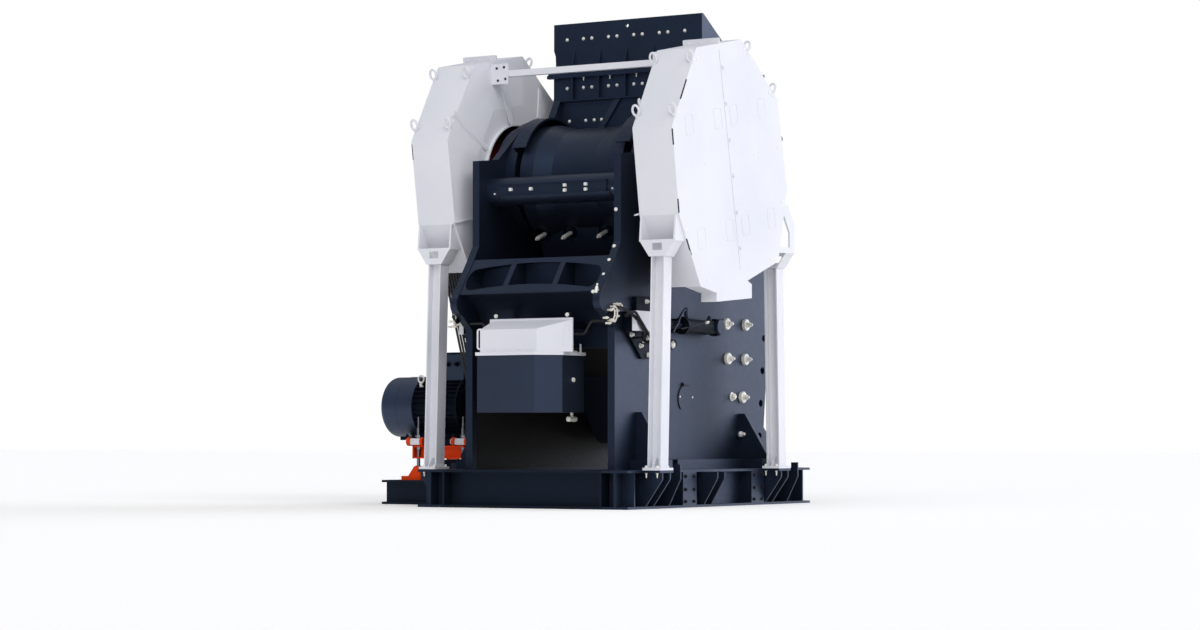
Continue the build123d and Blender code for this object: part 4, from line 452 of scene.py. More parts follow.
# %% Side plate bolts
plate_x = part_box("side_plate_right")[1][0]
tension_rows = [(0.690, 1.896), (1.112, 1.899), (0.719, 1.531), (1.099, 1.532), (1.039, 1.129)]
seat_height = 0.046
seat_profile = [(0.061, 0), (0.061, 0.030), (0.055, 0.036), (0.034, 0.036), (0.034, seat_height)]
low_seat_profile = [(0.056, 0), (0.056, 0.018), (0.050, 0.022), (0.030, 0.022)]
for side, sign in both_sides:
    outward = (sign, 0, 0)
    seats = mirrored(sign, [(plate_x, y, z) for y, z in tension_rows])
    nuts = bolts(seats + mirrored(sign, (seat_height, 0, 0)), outward, 0.030, 1.0, 0.1, 0.75)
    add_piece("tension_bolts_" + side, joined(turned(seat_profile, 32, seats, outward), nuts), zinc)
    small_place, low_place = mirrored(sign, [(plate_x, 0.826, 1.133), (plate_x, 0.964, 0.739)])
    small = bolts(small_place, outward, 0.040, 1.3, 0.15, 0.3)
    low = bolts(low_place, outward, 0.036, 1.0, 0.5, 1.0)
    pin_places = mirrored(sign, [(plate_x, -0.291, 1.119), (plate_x, -0.031, 1.115)])
    pins = turned([(0.011, 0), (0.011, 0.006), (0.006, 0.010)], 12, pin_places, outward)
    add_piece("cheek_bolts_" + side, joined(small, low, pins), zinc)
    add_piece("low_bolt_seat_" + side, turned(low_seat_profile, 28, low_place, outward), frame_enamel)
print("tension bolts at", len(tension_rows), "places on each side")

# %% [markdown]
# ## Guard hardware
# Each flywheel guard is a nine-sided sheet housing in two halves, split along a line that leans with the
# guard by eleven degrees. The halves meet at a bolted batten, and at the top the joint stands up as a flange.
# Eight small hatches, plugged bolt holes, lifting eyes and dark hinge slots give the white faces their scale.
# A frame of two directions, along the split and across it, places everything on the leaning pattern.

# %% Guard frame
guard_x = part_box("guard_shell_right")[1][0]
lean = math.radians(11.4)
across_split = np.array([0, math.cos(lean), math.sin(lean)])
along_split = np.array([0, -math.sin(lean), math.cos(lean)])
guard_middle = np.array([0, -0.410, 3.510])


def on_guard(x, across, along):
    """Place on a guard's face, from its middle, across the split line and along it."""
    return np.array([x, 0, 0]) + guard_middle + across * across_split + along * along_split


print("guard faces at x =", round(guard_x, 3))

# %% Battens, hatches and plugs
hatch_places = [(across, 0.44) for across in (-0.79, -0.19, 0.15, 0.76)]
hatch_places += [(across, -0.70) for across in (-0.76, -0.16, 0.18, 0.75)]
hatch_rim = rounded_box(0.155, 0.205, 0.022, 5)
rim_section = [(-0.005, -0.001), (0.005, -0.001), (0.003, 0.003), (-0.003, 0.003)]
plug_places = [
    (-1.114, 4.466), (-1.490, 3.891), (-0.134, 4.669), (0.419, 4.278), (-1.337, 2.744), (0.707, 3.163),
    (0.457, 2.541), (-0.881, 2.262), (-0.937, 3.421), (0.102, 3.606), (0.609, 3.724)]
plug_profile = [(0.016, -0.001), (0.016, 0.003), (0.012, 0.006)]
split_bolt_steps = np.linspace(-0.905, 0.935, 6)
batten_width, batten_length, batten_thickness = 0.060, 2.24, 0.005
for side, sign in both_sides:
    face, outward = sign * guard_x, (sign, 0, 0)
    # Across times along the split points to +X, so the left batten swaps the two to grow outwards
    if sign > 0:
        batten_size, ways = (batten_width, batten_length), (across_split, along_split)
    else:
        batten_size, ways = (batten_length, batten_width), (along_split, across_split)
    batten = slab(rounded_box(*batten_size, 0.004, 2), on_guard(face, 0, 0), *ways, batten_thickness)
    heads = [on_guard(face + sign * batten_thickness, 0, step) for step in split_bolt_steps]
    batten_bolts = bolts(heads, outward, 0.020, 1.15, 0.15, 0.0)
    add_piece("guard_batten_" + side, joined(batten, batten_bolts), guard_enamel)
    rims = []
    for across, along in hatch_places:
        middle = on_guard(face, across, along)
        path = middle + hatch_rim[:, :1] * across_split + hatch_rim[:, 1:] * along_split
        rims.append(swept(rim_section, path, outward, closed=True))
    add_piece("guard_hatches_" + side, joined(*rims), guard_enamel)
    plugs = turned(plug_profile, 16, [(face, y, z) for y, z in plug_places], outward)
    add_piece("guard_plugs_" + side, plugs, zinc)
print("hatches on each guard:", len(hatch_places))

# %% [markdown]
# ## Lifting eyes and joint flanges
# A lifting eye is a welded steel ring on edge. It is a round section carried round an ellipse, with a small
# foot where it meets the sheet. The flange on top of each guard is two thin plates with three bolts.

# %% Lifting eyes and flanges
eye_places = [(-1.585, 3.921, -1), (-1.240, 4.478, -1), (-0.035, 4.706, 1), (0.520, 4.328, 1)]
eye_half_width, eye_half_height, eye_steel = 0.036, 0.052, 0.0120
sheet_normals = {-1: np.array([0, -0.858, 0.513]), 1: np.array([0, 0.563, 0.826])}
foot_profile = [(0.022, -0.030), (0.020, 0.006), (0.012, 0.022)]
for side, sign in both_sides:
    eyes = []
    for x in (1.116, 1.530):
        for y, z, end in eye_places:
            normal, upright = sheet_normals[end], np.array([0, 0.30 * end, 0.954])
            centre = np.array([sign * x, y, z])
            ring = arc(centre, (eye_half_width, 0, 0), eye_half_height * upright, turns(28))
            eyes.append(swept(disc(eye_steel, 10), ring, np.cross(upright, x_way), closed=True))
            foot = centre - eye_half_height * upright - 0.016 * normal
            eyes.append(turned(foot_profile, 12, foot, normal))
    add_piece("lifting_eyes_" + side, joined(*eyes), guard_enamel)
    low = on_guard(sign * 1.335, 0.0, 1.164)
    flange = rounded_box(0.415, 0.146, 0.012)
    plates = [slab(flange, low + gap * across_split, x_way, along_split, 0.010) for gap in (-0.001, 0.012)]
    heads = [low + (dx, 0, 0) - 0.001 * across_split + 0.034 * along_split for dx in (-0.145, 0.0, 0.140)]
    add_piece("guard_flange_" + side, joined(*plates), guard_enamel, smooth=False)
    add_piece("guard_flange_bolts_" + side, bolts(heads, -across_split, 0.014, 1.15, 0.15, 0.3), zinc)
print("lifting eyes on each guard:", 2 * len(eye_places))

# %% [markdown]
# ## Hinge slots and knobs
# Where the outer cover hooks over the rim there are long dark slots, and a black knob locks it at the front.
# A slot is a shallow black slab sunk in the rim: its black is the painted shade inside an opening, so the
# sheet needs no cut.

# %% Slots and knobs
slot_ends = [
    ((-1.325, 4.235), (-1.450, 4.025)),
    ((-1.612, 3.720), (-1.586, 3.560)),
    ((-1.500, 3.040), (-1.478, 2.900)),
    ((-1.330, 2.655), (-1.230, 2.495)),
]
slot_depth = 0.0135
knob_profile = [(0.014, -0.010), (0.014, 0.010), (0.042, 0.014), (0.040, 0.034), (0.014, 0.064)]
for side, sign in both_sides:
    slots = []
    for (y0, z0), (y1, z1) in slot_ends:
        way = np.array([0, y1 - y0, z1 - z0])
        length = np.linalg.norm(way)
        # The left slab grows out of the rim, so it starts deeper
        sunk = slot_depth * np.array([0, way[2], -way[1]]) / length if sign < 0 else 0
        middle = np.array([sign * (guard_x - 0.004), (y0 + y1) / 2, (z0 + z1) / 2]) - sunk
        # Each slot is a black slab, the painted shade of an opening in the rim
        slots.append(slab(rounded_box(0.010, length, 0.0045, 3), middle, (sign, 0, 0), way / length, 0.012))
    knob = turned(knob_profile, 20, (sign * (guard_x - 0.040), 0.690, 3.811), (0, 0.97, 0.22))
    add_piece("guard_slot_shades_and_knob_" + side, joined(*slots, knob), black_oxide)
print("slots on each guard:", len(slot_ends))

# %% [markdown]
# ## Bolts of the base and the legs
# Each post of the base has six dark bolts in two columns. Each leg stands on a plate with four bolts, whose
# long threaded ends hang below it. They could be cylinders only, but the pointed ends catch the light.

# %% Base and leg bolts
post_heights = (0.062, 0.181, 0.313)
post_columns = (-0.795, -0.622, 0.663, 0.831)
foot_x, under_z, plate_z = 1.312, 0.355, 0.405
foot_places = [(dx, y + dy) for y in (-1.512, 0.990) for dx in (-0.062, 0.062) for dy in (-0.100, 0.100)]
tip_profile = [(0.0085, 0.010), (0.0085, 0.036), (0.003, 0.052)]
down = (0, 0, -1)
for side, sign in both_sides:
    post_places = mirrored(sign, [(1.231, y, z) for y in post_columns for z in post_heights])
    add_piece("post_bolts_" + side, bolts(post_places, (sign, 0, 0), 0.018, 1.2, 0.15, 0.2), black_oxide)
    under = [(sign * foot_x + dx, y, under_z) for dx, y in foot_places]
    nuts = bolts(under, down, 0.015, 1.2, 0.15, 0.0)
    tips = turned(tip_profile, 12, under, down)
    heads = bolts([(x, y, plate_z) for x, y, z in under], z_way, 0.018, 1.2, 0.15, 0.3)
    add_piece("leg_bolts_" + side, joined(nuts, tips, heads), zinc)
print("leg bolts on each side:", len(foot_places))

# %% [markdown]
# ## Hopper bolts and small plates
# The two halves of the hopper and the frame's ears are joined by domed bolts in pairs between the ribs. The
# flange has a thin lip under it and studs through it. A flat stay slants across the rear wall, and a strip
# closes each rear corner where the wall narrows at its foot.

# %% Hopper bolts
hopper_rear, hopper_front, hopper_side = 0.142, 1.400, 0.908
pair_middles = ((0.720, 0), (0.465, -0.052), (0.465, 0.052), (0.155, -0.052), (0.155, 0.052))
pair_columns = [sign * (middle + half) for middle, half in pair_middles for sign in (-1, 1)]
dome_rows = [(x - 0.020, hopper_rear, z) for z in (4.946, 4.424) for x in pair_columns]
ear_columns = [sign * x + 0.008 for x in (0.720, 0.517, 0.413, 0.322) for sign in (-1, 1)]
dome_rows += [(x, hopper_rear, 4.070) for x in ear_columns]
add_piece("hopper_rear_bolts", domes(dome_rows, (0, -1, 0), 0.0165, 0.015), zinc)
lip = slab(rounded_box(1.920, 0.036, 0.002, 2), (0, hopper_rear, 4.550), x_way, z_way, 0.058)
add_piece("hopper_flange_lip", lip, hopper_lit_enamel, smooth=False)
stay_outline = [(-0.431, 3.850), (-0.357, 3.850), (-0.062, 4.281), (-0.136, 4.281)]
stay = slab(stay_outline, (0, hopper_rear + 0.001, 0), x_way, z_way, 0.030)
# The stay takes the covers' lighter paint, which paints in the light that falls on it beside the darker wall
add_piece("hopper_stay", stay, cover_enamel, smooth=False)
strip_places = [(sign * 0.868, 0.190, 4.720) for sign in (-1, 1)]
strips = slab(rounded_box(0.064, 0.238, 0.002, 2), strip_places, x_way, z_way, 0.018)
add_piece("hopper_corner_strips", strips, hopper_lit_enamel, smooth=False)
print("domed bolts on the hopper's rear:", len(dome_rows))

# %% Flange studs and side bolts
flange_low, flange_high = 4.567, 4.600
stud_columns = [offset * 0.325 - 0.030 for offset in (-2.4, -1.5, -0.5, 0.5, 1.5, 2.5)]
studs = bolts([(x, 0.112, 4.533) for x in stud_columns[1:]], down, 0.011, 1.2, 0.15, 2.6)
flange_heads = bolts([(x, 0.120, flange_high) for x in stud_columns], z_way, 0.020, 1.2, 0.15, 0.2)
side_columns = [0.300 + step * 0.225 for step in range(5)]
side_studs = []
for side, sign in both_sides:
    for z, way, reach in ((flange_low, -1, 1.4), (flange_high, 1, 0.2)):
        places = [(sign * 0.928, y, z) for y in side_columns]
        side_studs.append(bolts(places, (0, 0, way), 0.020, 1.2, 0.15, reach))
add_piece("hopper_flange_bolts", joined(studs, flange_heads, *side_studs), zinc)
dome_heights = (4.480, 4.150)
plain_domes = []
for side, sign in both_sides:
    places = [(sign * hopper_side, y, z) for z in dome_heights for y in side_columns]
    plain_domes.append(domes(places, (sign, 0, 0), 0.019, 0.014))
front_places = [(x, hopper_front, z) for z in dome_heights for x in pair_columns]
plain_domes.append(domes(front_places, y_way, 0.019, 0.014))
add_piece("hopper_side_bolts", joined(*plain_domes), zinc)
print("flange studs on each side:", len(side_columns))

# %% [markdown]
# ## Bolts of the swing jaw
# Four long bolts hold the moving jaw plate. A pale sleeve sits on each end behind the jaw, in a dark round
# seat, so they lie along the jaw's own forward direction. They ride on the jaw's body, and move with it.

# %% Jaw bolts
jaw_lean = math.radians(21.0)
jaw_back = np.array([0, -math.cos(jaw_lean), -math.sin(jaw_lean)])
jaw_bolt_root = np.array([0, -0.6349, 2.8184]) - 0.030 * jaw_back
sleeve_places = [jaw_bolt_root + (x, 0, 0) for x in (-0.530, -0.213, 0.213, 0.530)]
sleeve_profile = [(0.0225, 0.0005), (0.0225, 0.188), (0.0205, 0.190), (0.0130, 0.190), (0.0130, 0.222)]
sleeve_profile += [(0.0100, 0.226)]
jaw_seat_profile = [(0.050, 0.0005), (0.050, 0.036), (0.044, 0.040)]
sleeves = turned(sleeve_profile, 24, sleeve_places, jaw_back)
add_piece("jaw_bolt_sleeves", sleeves, zinc, body="swing_jaw_set")
jaw_seats = turned(jaw_seat_profile, 28, sleeve_places, jaw_back)
add_piece("jaw_bolt_seats", jaw_seats, dark_enamel, body="swing_jaw_set")
print("jaw bolts:", len(sleeve_places))

# %% [markdown]
# ## Rear edge of the right side plate
# On the sloping rear edge of the right plate there are single pale heads square to the edge, and one on the
# upright stretch above. At the elbow a grease port, a tee and a short arm stand together.

# %% Edge bolts and grease fittings
edge_x = 0.822
edge_places = [(edge_x, -1.5076, 2.598), (edge_x, -1.6048, 2.455), (edge_x, -1.7067, 2.307)]
slope_normal = (0, -0.824, 0.567)
port_profile = [(0.020, -0.012), (0.020, 0.012), (0.013, 0.014), (0.013, 0.034)]
tee_profile = [(0.016, -0.036), (0.016, 0.030), (0.009, 0.034), (0.009, 0.062)]
arm_profile = [(0.013, -0.001), (0.020, 0.030), (0.012, 0.044)]
edge_pieces = joined(
    domes(edge_places, slope_normal, 0.018, 0.016),
    domes((edge_x, -1.473, 2.965), (0, -1, 0), 0.018, 0.016),
    turned(port_profile, 16, (edge_x, -1.829, 2.142), slope_normal),
    turned(tee_profile, 16, (edge_x, -1.848, 2.152), (0, 0.3, 1)),
    turned(arm_profile, 16, (edge_x - 0.010, -1.850, 2.136), (-1, 0, -0.15)),
)
add_piece("edge_bolts_right", edge_pieces, zinc)
print("heads on the sloping edge:", len(edge_places))

# %% [markdown]
# ## Wiring tray on the cross tube
# Small square connectors stand in the open tray, and two thin cables come out of its ends and follow the
# tube's surface down. A small pin sits on the tube beyond each end of the tray.

# %% Tray connectors, cables and pins
tray_floor = -1.352
tube_y, tube_z, tube_radius, cable_run = -1.195, 3.220, 0.145, 0.151
connector_places = [(-0.488, 3.226), (-0.245, 3.223)]
connector_places += [(x, z) for x in (0.159, 0.405) for z in (3.243, 3.192)]
standing = [(x, tray_floor + 0.001, z) for x, z in connector_places]
connectors = slab(rounded_box(0.032, 0.032, 0.005, 3), standing, x_way, z_way, 0.026)
add_piece("tray_connectors", connectors, nickel)
cables = []
for x, drift in ((-0.655, -0.030), (0.655, 0.040)):
    angles = np.radians(np.linspace(190, 285, 14))
    path = arc((x, tube_y, tube_z), (0, cable_run, 0), (0, 0, cable_run), angles)
    path[:, 0] += np.linspace(0, drift, len(path))
    cables.append(swept(disc(0.006, 8), path, (1, 0.02, 0)))
add_piece("tray_cables", joined(*cables), belt_rubber)
pin_places = [(x, tube_y - tube_radius * 0.98, 3.190) for x in (-0.700, 0.700)]
add_piece("tube_pins", domes(pin_places, (0, -1, -0.2), 0.010, 0.008, 12), zinc)
print("connectors in the tray:", len(connector_places))

# %% [markdown]
# ## The guards' inner sheets
# The inner sheet of each guard is folded from panels. The seam in line with the split carries a strip and a
# row of small screws, three folds stiffen the sheet, and a lip runs round the window's collar. How deep each
# of them lies comes from how far out on the folded sheet it stands: the sheet rises from the collar to the
# rim in a straight line. Each end plate of the tie beam has four dark bolts.

# %% Depth of the folded sheet
guard_outline = np.array([
    (-1.125, 4.568), (-0.190, 4.758), (0.610, 4.213), (0.816, 3.290), (0.615, 2.532),
    (-0.060, 2.300), (-1.045, 2.198), (-1.475, 2.888), (-1.615, 3.748)])
window_centre = np.array([-0.410, 3.370])
collar_x, sheet_rise, collar_share = 1.030, 0.065, 0.62


def inner_sheet_x(y, z):
    """x = collar + rise * (share - collar's share) / (1 - collar's share); the share is 1 at the rim."""
    corners = guard_outline - window_centre
    edges = np.roll(corners, -1, 0) - corners
    normals = np.stack([-edges[:, 1], edges[:, 0]], -1)
    share = np.max(normals @ (np.array([y, z]) - window_centre) / np.sum(normals * corners, 1))
    return collar_x + sheet_rise * (share - collar_share) / (1 - collar_share)


def on_sheet(sign, ends, sunk=0.0):
    """Six places in a line between two (y, z) ends, each at the sheet's own depth."""
    return [(sign * (inner_sheet_x(y, z) - sunk), y, z) for y, z in np.linspace(ends[0], ends[1], 6)]


print("sheet at the window's edge: x =", round(float(inner_sheet_x(-0.410, 4.190)), 3))

# %% Tie plate bolts, seam strips, folds and screws
tie_rows = ((1.010, 4.555), (0.920, 4.562), (0.995, 4.426), (0.902, 4.439))
tie_places = [(sign * x, -0.8245, z) for side, sign in both_sides for x, z in tie_rows]
add_piece("tie_plate_bolts", bolts(tie_places, (0, -1, 0), 0.012, 1.3, 0.12, 0.3), black_oxide)
folds = [
    (((-1.500, 4.030), (-1.000, 3.705)), [(-0.034, 0), (0.034, 0), (0.020, 0.014), (0.010, 0.014)]),
    (((-1.540, 2.892), (-1.100, 2.985)), [(-0.005, 0), (0.005, 0), (0.005, 0.032), (-0.005, 0.032)]),
    (((0.040, 4.110), (0.140, 4.440)), [(-0.030, 0), (0.030, 0), (0.030, 0.010), (-0.030, 0.010)]),
]
strip_section = [(-0.047, -0.0005), (0.047, -0.0005), (0.045, 0.0040), (-0.045, 0.0040)]
lip_section = [(-0.009, -0.004), (0.009, -0.004), (0.009, 0.004), (-0.009, 0.004)]
lip_radius = 0.628
seam_heights = (0.990, 0.810, 0.635, -0.700, -0.860, -1.010)
for side, sign in both_sides:
    inward = (-sign, 0, 0)
    shapes = []
    for low, high in ((0.650, 1.020), (-1.030, -0.660)):
        ends = [window_centre + height * along_split[1:] for height in (low, high)]
        shapes.append(swept(strip_section, on_sheet(sign, ends), inward))
    shapes += [swept(section, on_sheet(sign, ends, 0.002), inward) for ends, section in folds]
    add_piece("guard_seam_strip_" + side, joined(*shapes), guard_enamel, smooth=False)
    seam = [window_centre + height * along_split[1:] + (-0.005, 0) for height in seam_heights]
    places = [(sign * (inner_sheet_x(y, z) - 0.001), y, z) for y, z in seam]
    add_piece("guard_seam_screws_" + side, domes(places, inward, 0.011, 0.007, 14), zinc)
    lip = arc((sign * 0.998, *window_centre), (0, lip_radius, 0), (0, 0, lip_radius), turns(72))
    add_piece("guard_collar_lip_" + side, swept(lip_section, lip, (sign, 0, 0), closed=True), guard_enamel)
print("seam screws on each guard:", len(seam_heights))

# %% [markdown]
# ## Service box hardware
# The lid lifts by a bent rod on its left end and is held by a catch and an upright pin on its ledge. The body
# has one round latch. Two tabs over the back plate take the bolts that hang the box. The handle is a round
# section carried along straight stretches and two quarter circles, as the real one is bent from rod.

# %% Lid handle, recess and pin
bend_radius, handle_y, handle_end_x = 0.020, -1.972, -0.446
angles = np.radians(np.linspace(90, 180, 6))
upper_bend = arc((-0.468, 0, 1.758), (bend_radius, 0, 0), (0, 0, bend_radius), angles)
lower_bend = arc((-0.468, 0, 1.604), (bend_radius, 0, 0), (0, 0, -bend_radius), angles[::-1])
handle_ends = [(handle_end_x, 0, 1.778)], [(handle_end_x, 0, 1.584)]
handle_path = np.concatenate([handle_ends[0], upper_bend, lower_bend, handle_ends[1]])
handle_path[:, 1] = handle_y
handle = swept(disc(0.0095, 12), handle_path, y_way)
facet_way, facet_out = np.array([0.753, 0.658, 0]), np.array([0.658, -0.753, 0])
recess = rounded_box(0.058, 0.205, 0.012, 5)
recess_path = np.array([0.441, -1.7903, 1.700]) + recess[:, :1] * facet_way + recess[:, 1:] * np.array(z_way)
recess_section = [(-0.003, -0.001), (0.003, -0.001), (0.002, 0.0025), (-0.002, 0.0025)]
recess_rim = swept(recess_section, recess_path, facet_out, closed=True)
lid_screws = domes([(-0.279, -1.986, 1.578), (0.025, -1.986, 1.578)], (0, -1, 0), 0.010, 0.007, 14)
pin_profile = [(0.014, -0.001), (0.011, 0.004), (0.011, 0.078), (0.007, 0.084)]
pin = turned(pin_profile, 16, (0.392, -1.442, 1.550), z_way)
add_piece("lid_handle", joined(handle, recess_rim, lid_screws, pin), guard_enamel)
print("service box handle path:", len(handle_path), "places")

# %% Latches and hangers
latches = joined(
    slab(rounded_box(0.030, 0.090, 0.005, 3), (0.345, -1.473, 1.5495), x_way, y_way, 0.012),
    swept(disc(0.005, 8), [(0.345, -1.505, 1.566), (0.345, -1.440, 1.566)], z_way),
    slab(rounded_box(0.050, 0.046, 0.010, 4), (0.3995, -1.593, 1.274), y_way, z_way, 0.008),
    turned([(0.017, 0.007), (0.017, 0.018), (0.013, 0.022)], 20, (0.400, -1.600, 1.274), x_way),
    turned([(0.020, 0.0), (0.026, 0.004), (0.026, 0.140), (0.020, 0.148)], 24, (0.300, -1.530, 0.885), y_way),
    turned([(0.016, -0.001), (0.016, 0.070)], 16, (0.300, -1.455, 0.950), down),
)
add_piece("box_latches", latches, zinc)
hanger_side = [(-1.736, 1.7785), (-1.3385, 1.7785), (-1.3385, 1.8315), (-1.4010, 1.8315), (-1.7360, 1.8900)]
hangers = [side_slab(1, x - 0.0165, hanger_side, 0.033) for x in (-0.430, 0.430)]
add_piece("hanger_covers", joined(*hangers), dark_enamel, smooth=False)
tab_columns = (-0.415, 0.425)
tab_places = [(x, -1.7345, 1.900) for x in tab_columns]
tabs = slab(rounded_box(0.064, 0.080, 0.012, 4), tab_places, x_way, z_way, 0.014)
add_piece("hanger_tabs", tabs, frame_enamel, smooth=False)
hanger_bolts = bolts([(x, -1.7485, 1.918) for x in tab_columns], (0, -1, 0), 0.018, 1.3, 0.15, 0.4)
add_piece("hanger_bolts", hanger_bolts, zinc)
print("hangers:", len(hangers))

# %% [markdown]
# ## Cylinder brackets
# A thick bracket plate with four bolts holds each setting cylinder's rear block to the side plate, and a
# smaller one stands above it. A white cover closes the block. All are flat outlines with a thickness, as
# plates are cut from sheet, and the left side is the right one mirrored.

# %% Brackets and block covers
bracket_outline = [
    (-1.455, 1.760), (-1.397, 1.735), (-1.218, 1.585), (-1.119, 1.488), (-0.900, 1.493),
    (-0.470, 1.600), (-0.405, 1.640), (-0.420, 1.690), (-0.920, 1.752)]
upper_outline = [(-1.250, 1.955), (-0.880, 1.955), (-0.880, 2.120), (-1.250, 2.105)]
cover_outline = [(-1.458, 1.757), (-1.068, 1.757), (-1.068, 1.955), (-1.458, 1.955)]
bracket_bolts = [(-1.333, 1.722), (-1.013, 1.700), (-1.154, 1.616), (-0.997, 1.530)]
bracket_thickness, upper_thickness, sunk = 0.034, 0.050, 0.001
post_profile = [(0.026, -0.001), (0.026, 0.020), (0.017, 0.022), (0.017, 0.052), (0.012, 0.056)]
for side, sign in both_sides:
    outward, plate_face = (sign, 0, 0), sign * (plate_x - sunk)
    bracket = side_slab(sign, plate_face, bracket_outline, bracket_thickness)
    upper = side_slab(sign, plate_face, upper_outline, upper_thickness)
    add_piece("cylinder_bracket_" + side, joined(bracket, upper), dark_enamel, smooth=False)
    cover = side_slab(sign, sign * 1.000, cover_outline, 0.054)
    add_piece("block_cover_" + side, cover, guard_enamel, smooth=False)
    bracket_face = plate_x + bracket_thickness - sunk
    places = mirrored(sign, [(bracket_face, y, z) for y, z in bracket_bolts])
    upper_place = mirrored(sign, (plate_x + upper_thickness - sunk, -1.060, 2.062))
    rod = mirrored(sign, [(0.945, -1.154, 1.655), (0.945, -0.900, 1.660)])
    fixings = joined(
        bolts(places, outward, 0.024, 1.15, 0.15, 0.6),
        bolts(upper_place, outward, 0.024, 1.15, 0.15, 0.6),
        domes(mirrored(sign, (bracket_face, -0.490, 1.645)), outward, 0.034, 0.020),
        turned(post_profile, 20, mirrored(sign, (plate_x, -0.958, 1.524)), outward),
        swept(disc(0.008, 10), rod, z_way),
    )
    add_piece("bracket_bolts_" + side, fixings, zinc)
print("bolts on each bracket:", len(bracket_bolts))

# %% [markdown]
# ## Valves at the elbow
# At the elbow of each side plate a slanted plate carries a group of pale brass valves. Each valve is a turned
# hexagon stem with a collar, and thin bows of tube lead from one valve to the next.

# %% Valve plates and valves
lean_way, lean_up = np.array([0, 0.87, 0.49]), np.array([0, -0.49, 0.87])
valve_seats = [(-1.729, 1.954), (-1.674, 1.989), (-1.618, 2.016), (-1.548, 2.003), (-1.610, 1.950)]
valve_seats += [(-1.602, 1.898), (-1.725, 1.856), (-1.674, 1.850), (-1.812, 1.874), (-1.765, 1.823)]
stem_profile = [(0.011, -0.001), (0.011, 0.030), (0.015, 0.032), (0.015, 0.048)]
stem_profile += [(0.008, 0.050), (0.008, 0.062)]
# A bow's places are the height above the side plate, y and z
bow_ways = [
    [(0.052, -1.735, 1.955), (0.056, -1.712, 1.972), (0.058, -1.690, 1.950),
     (0.058, -1.690, 1.905), (0.056, -1.712, 1.862), (0.050, -1.730, 1.835)],
    [(0.052, -1.674, 1.985), (0.056, -1.652, 1.975), (0.058, -1.642, 1.940),
     (0.058, -1.645, 1.895), (0.054, -1.665, 1.855), (0.050, -1.680, 1.835)],
    [(0.052, -1.618, 2.016), (0.058, -1.580, 2.022), (0.056, -1.548, 2.003), (0.050, -1.535, 1.975)],
    [(0.052, -1.765, 1.823), (0.056, -1.800, 1.818), (0.054, -1.838, 1.824)],
]
for side, sign in both_sides:
    place = mirrored(sign, (plate_x - sunk, -1.655, 1.930))
    valve_plate = slab(rounded_box(0.250, 0.050, 0.010, 4), place, sign * lean_way, lean_up, 0.018)
    add_piece("valve_plate_" + side, valve_plate, dark_enamel, smooth=False)
    stems = turned(stem_profile, 6, [(sign * plate_x, y, z) for y, z in valve_seats], (sign, 0, 0))
    paths = [mirrored(sign, np.array(way) + (plate_x, 0, 0)) for way in bow_ways]
    bows = [swept(disc(0.0075, 8), path, x_way) for path in paths]
    add_piece("valves_" + side, joined(stems, *bows), brass)
print("valves on each side:", len(valve_seats))

# %% [markdown]
# ## Sensor on the side plate
# Lower down, a round sensor with a short stalk sits on the plain part of each plate. Its thin cable bends
# round below it and ends at the plate.

# %% Sensors
sensor_y, sensor_z = -0.235, 1.243
sensor_profile = [(0.024, -0.001), (0.024, 0.010), (0.016, 0.012), (0.016, 0.026)]
cable_angles = np.radians(np.linspace(97, 228, 18))
for side, sign in both_sides:
    sensor = turned(sensor_profile, 20, (sign * plate_x, sensor_y, sensor_z), (sign, 0, 0))
    ends = mirrored(sign, [(plate_x + 0.018, sensor_y, sensor_z), (plate_x + 0.010, -0.090, 1.238)])
    stalk = swept(disc(0.004, 8), ends, x_way)
    bend = arc((sign * (plate_x + 0.005), -0.170, 1.100), (0, 0.160, 0), (0, 0, 0.145), cable_angles)
    cable = swept(disc(0.006, 8), bend, x_way)
    add_piece("sensor_" + side, joined(sensor, stalk, cable), black_oxide, slot="belt_rubber")
print("places along a sensor's cable:", len(cable_angles))

# %% [markdown]
# ## Pipes and hoses of the setting cylinders
# A thin dark pipe with a union nut runs along each cylinder, and its front end has a pale ring and a flat
# round boss. An inlet stands on top at each end. The rear one has a tall cap, and a thicker hose in the
# covers' blue-grey comes up to it. Two rubber link hoses lead from the elbow to the rear block.

# %% Cylinder fittings and hoses
pipe_way = [(1.078, -0.613, 1.800), (1.080, -0.350, 1.838), (1.080, -0.093, 1.880), (1.070, -0.010, 1.893)]
hose_way = [(1.060, -0.747, 1.762), (1.062, -0.696, 1.822), (1.060, -0.645, 1.857)]
hose_way += [(1.045, -0.585, 1.915), (1.020, -0.470, 1.985), (1.000, -0.380, 2.010)]
link_way = [(0.945, -1.640, 1.990), (1.020, -1.570, 1.940), (1.070, -1.480, 1.860)]
link_way += [(1.074, -1.340, 1.742), (1.040, -1.300, 1.700), (0.930, -1.290, 1.690)]
union_profile = [(0.015, -0.030), (0.015, 0.030), (0.009, 0.034)]
rod_end_profile = [(0.060, -0.001), (0.060, 0.010), (0.040, 0.014)]
boss_profile = [(0.079, -0.030), (0.079, 0.0), (0.075, 0.003)]
inlet_profile = [(0.026, -0.020), (0.026, 0.030), (0.018, 0.034), (0.018, 0.050)]
cap_profile = [(0.022, -0.001), (0.022, 0.075), (0.017, 0.080)]
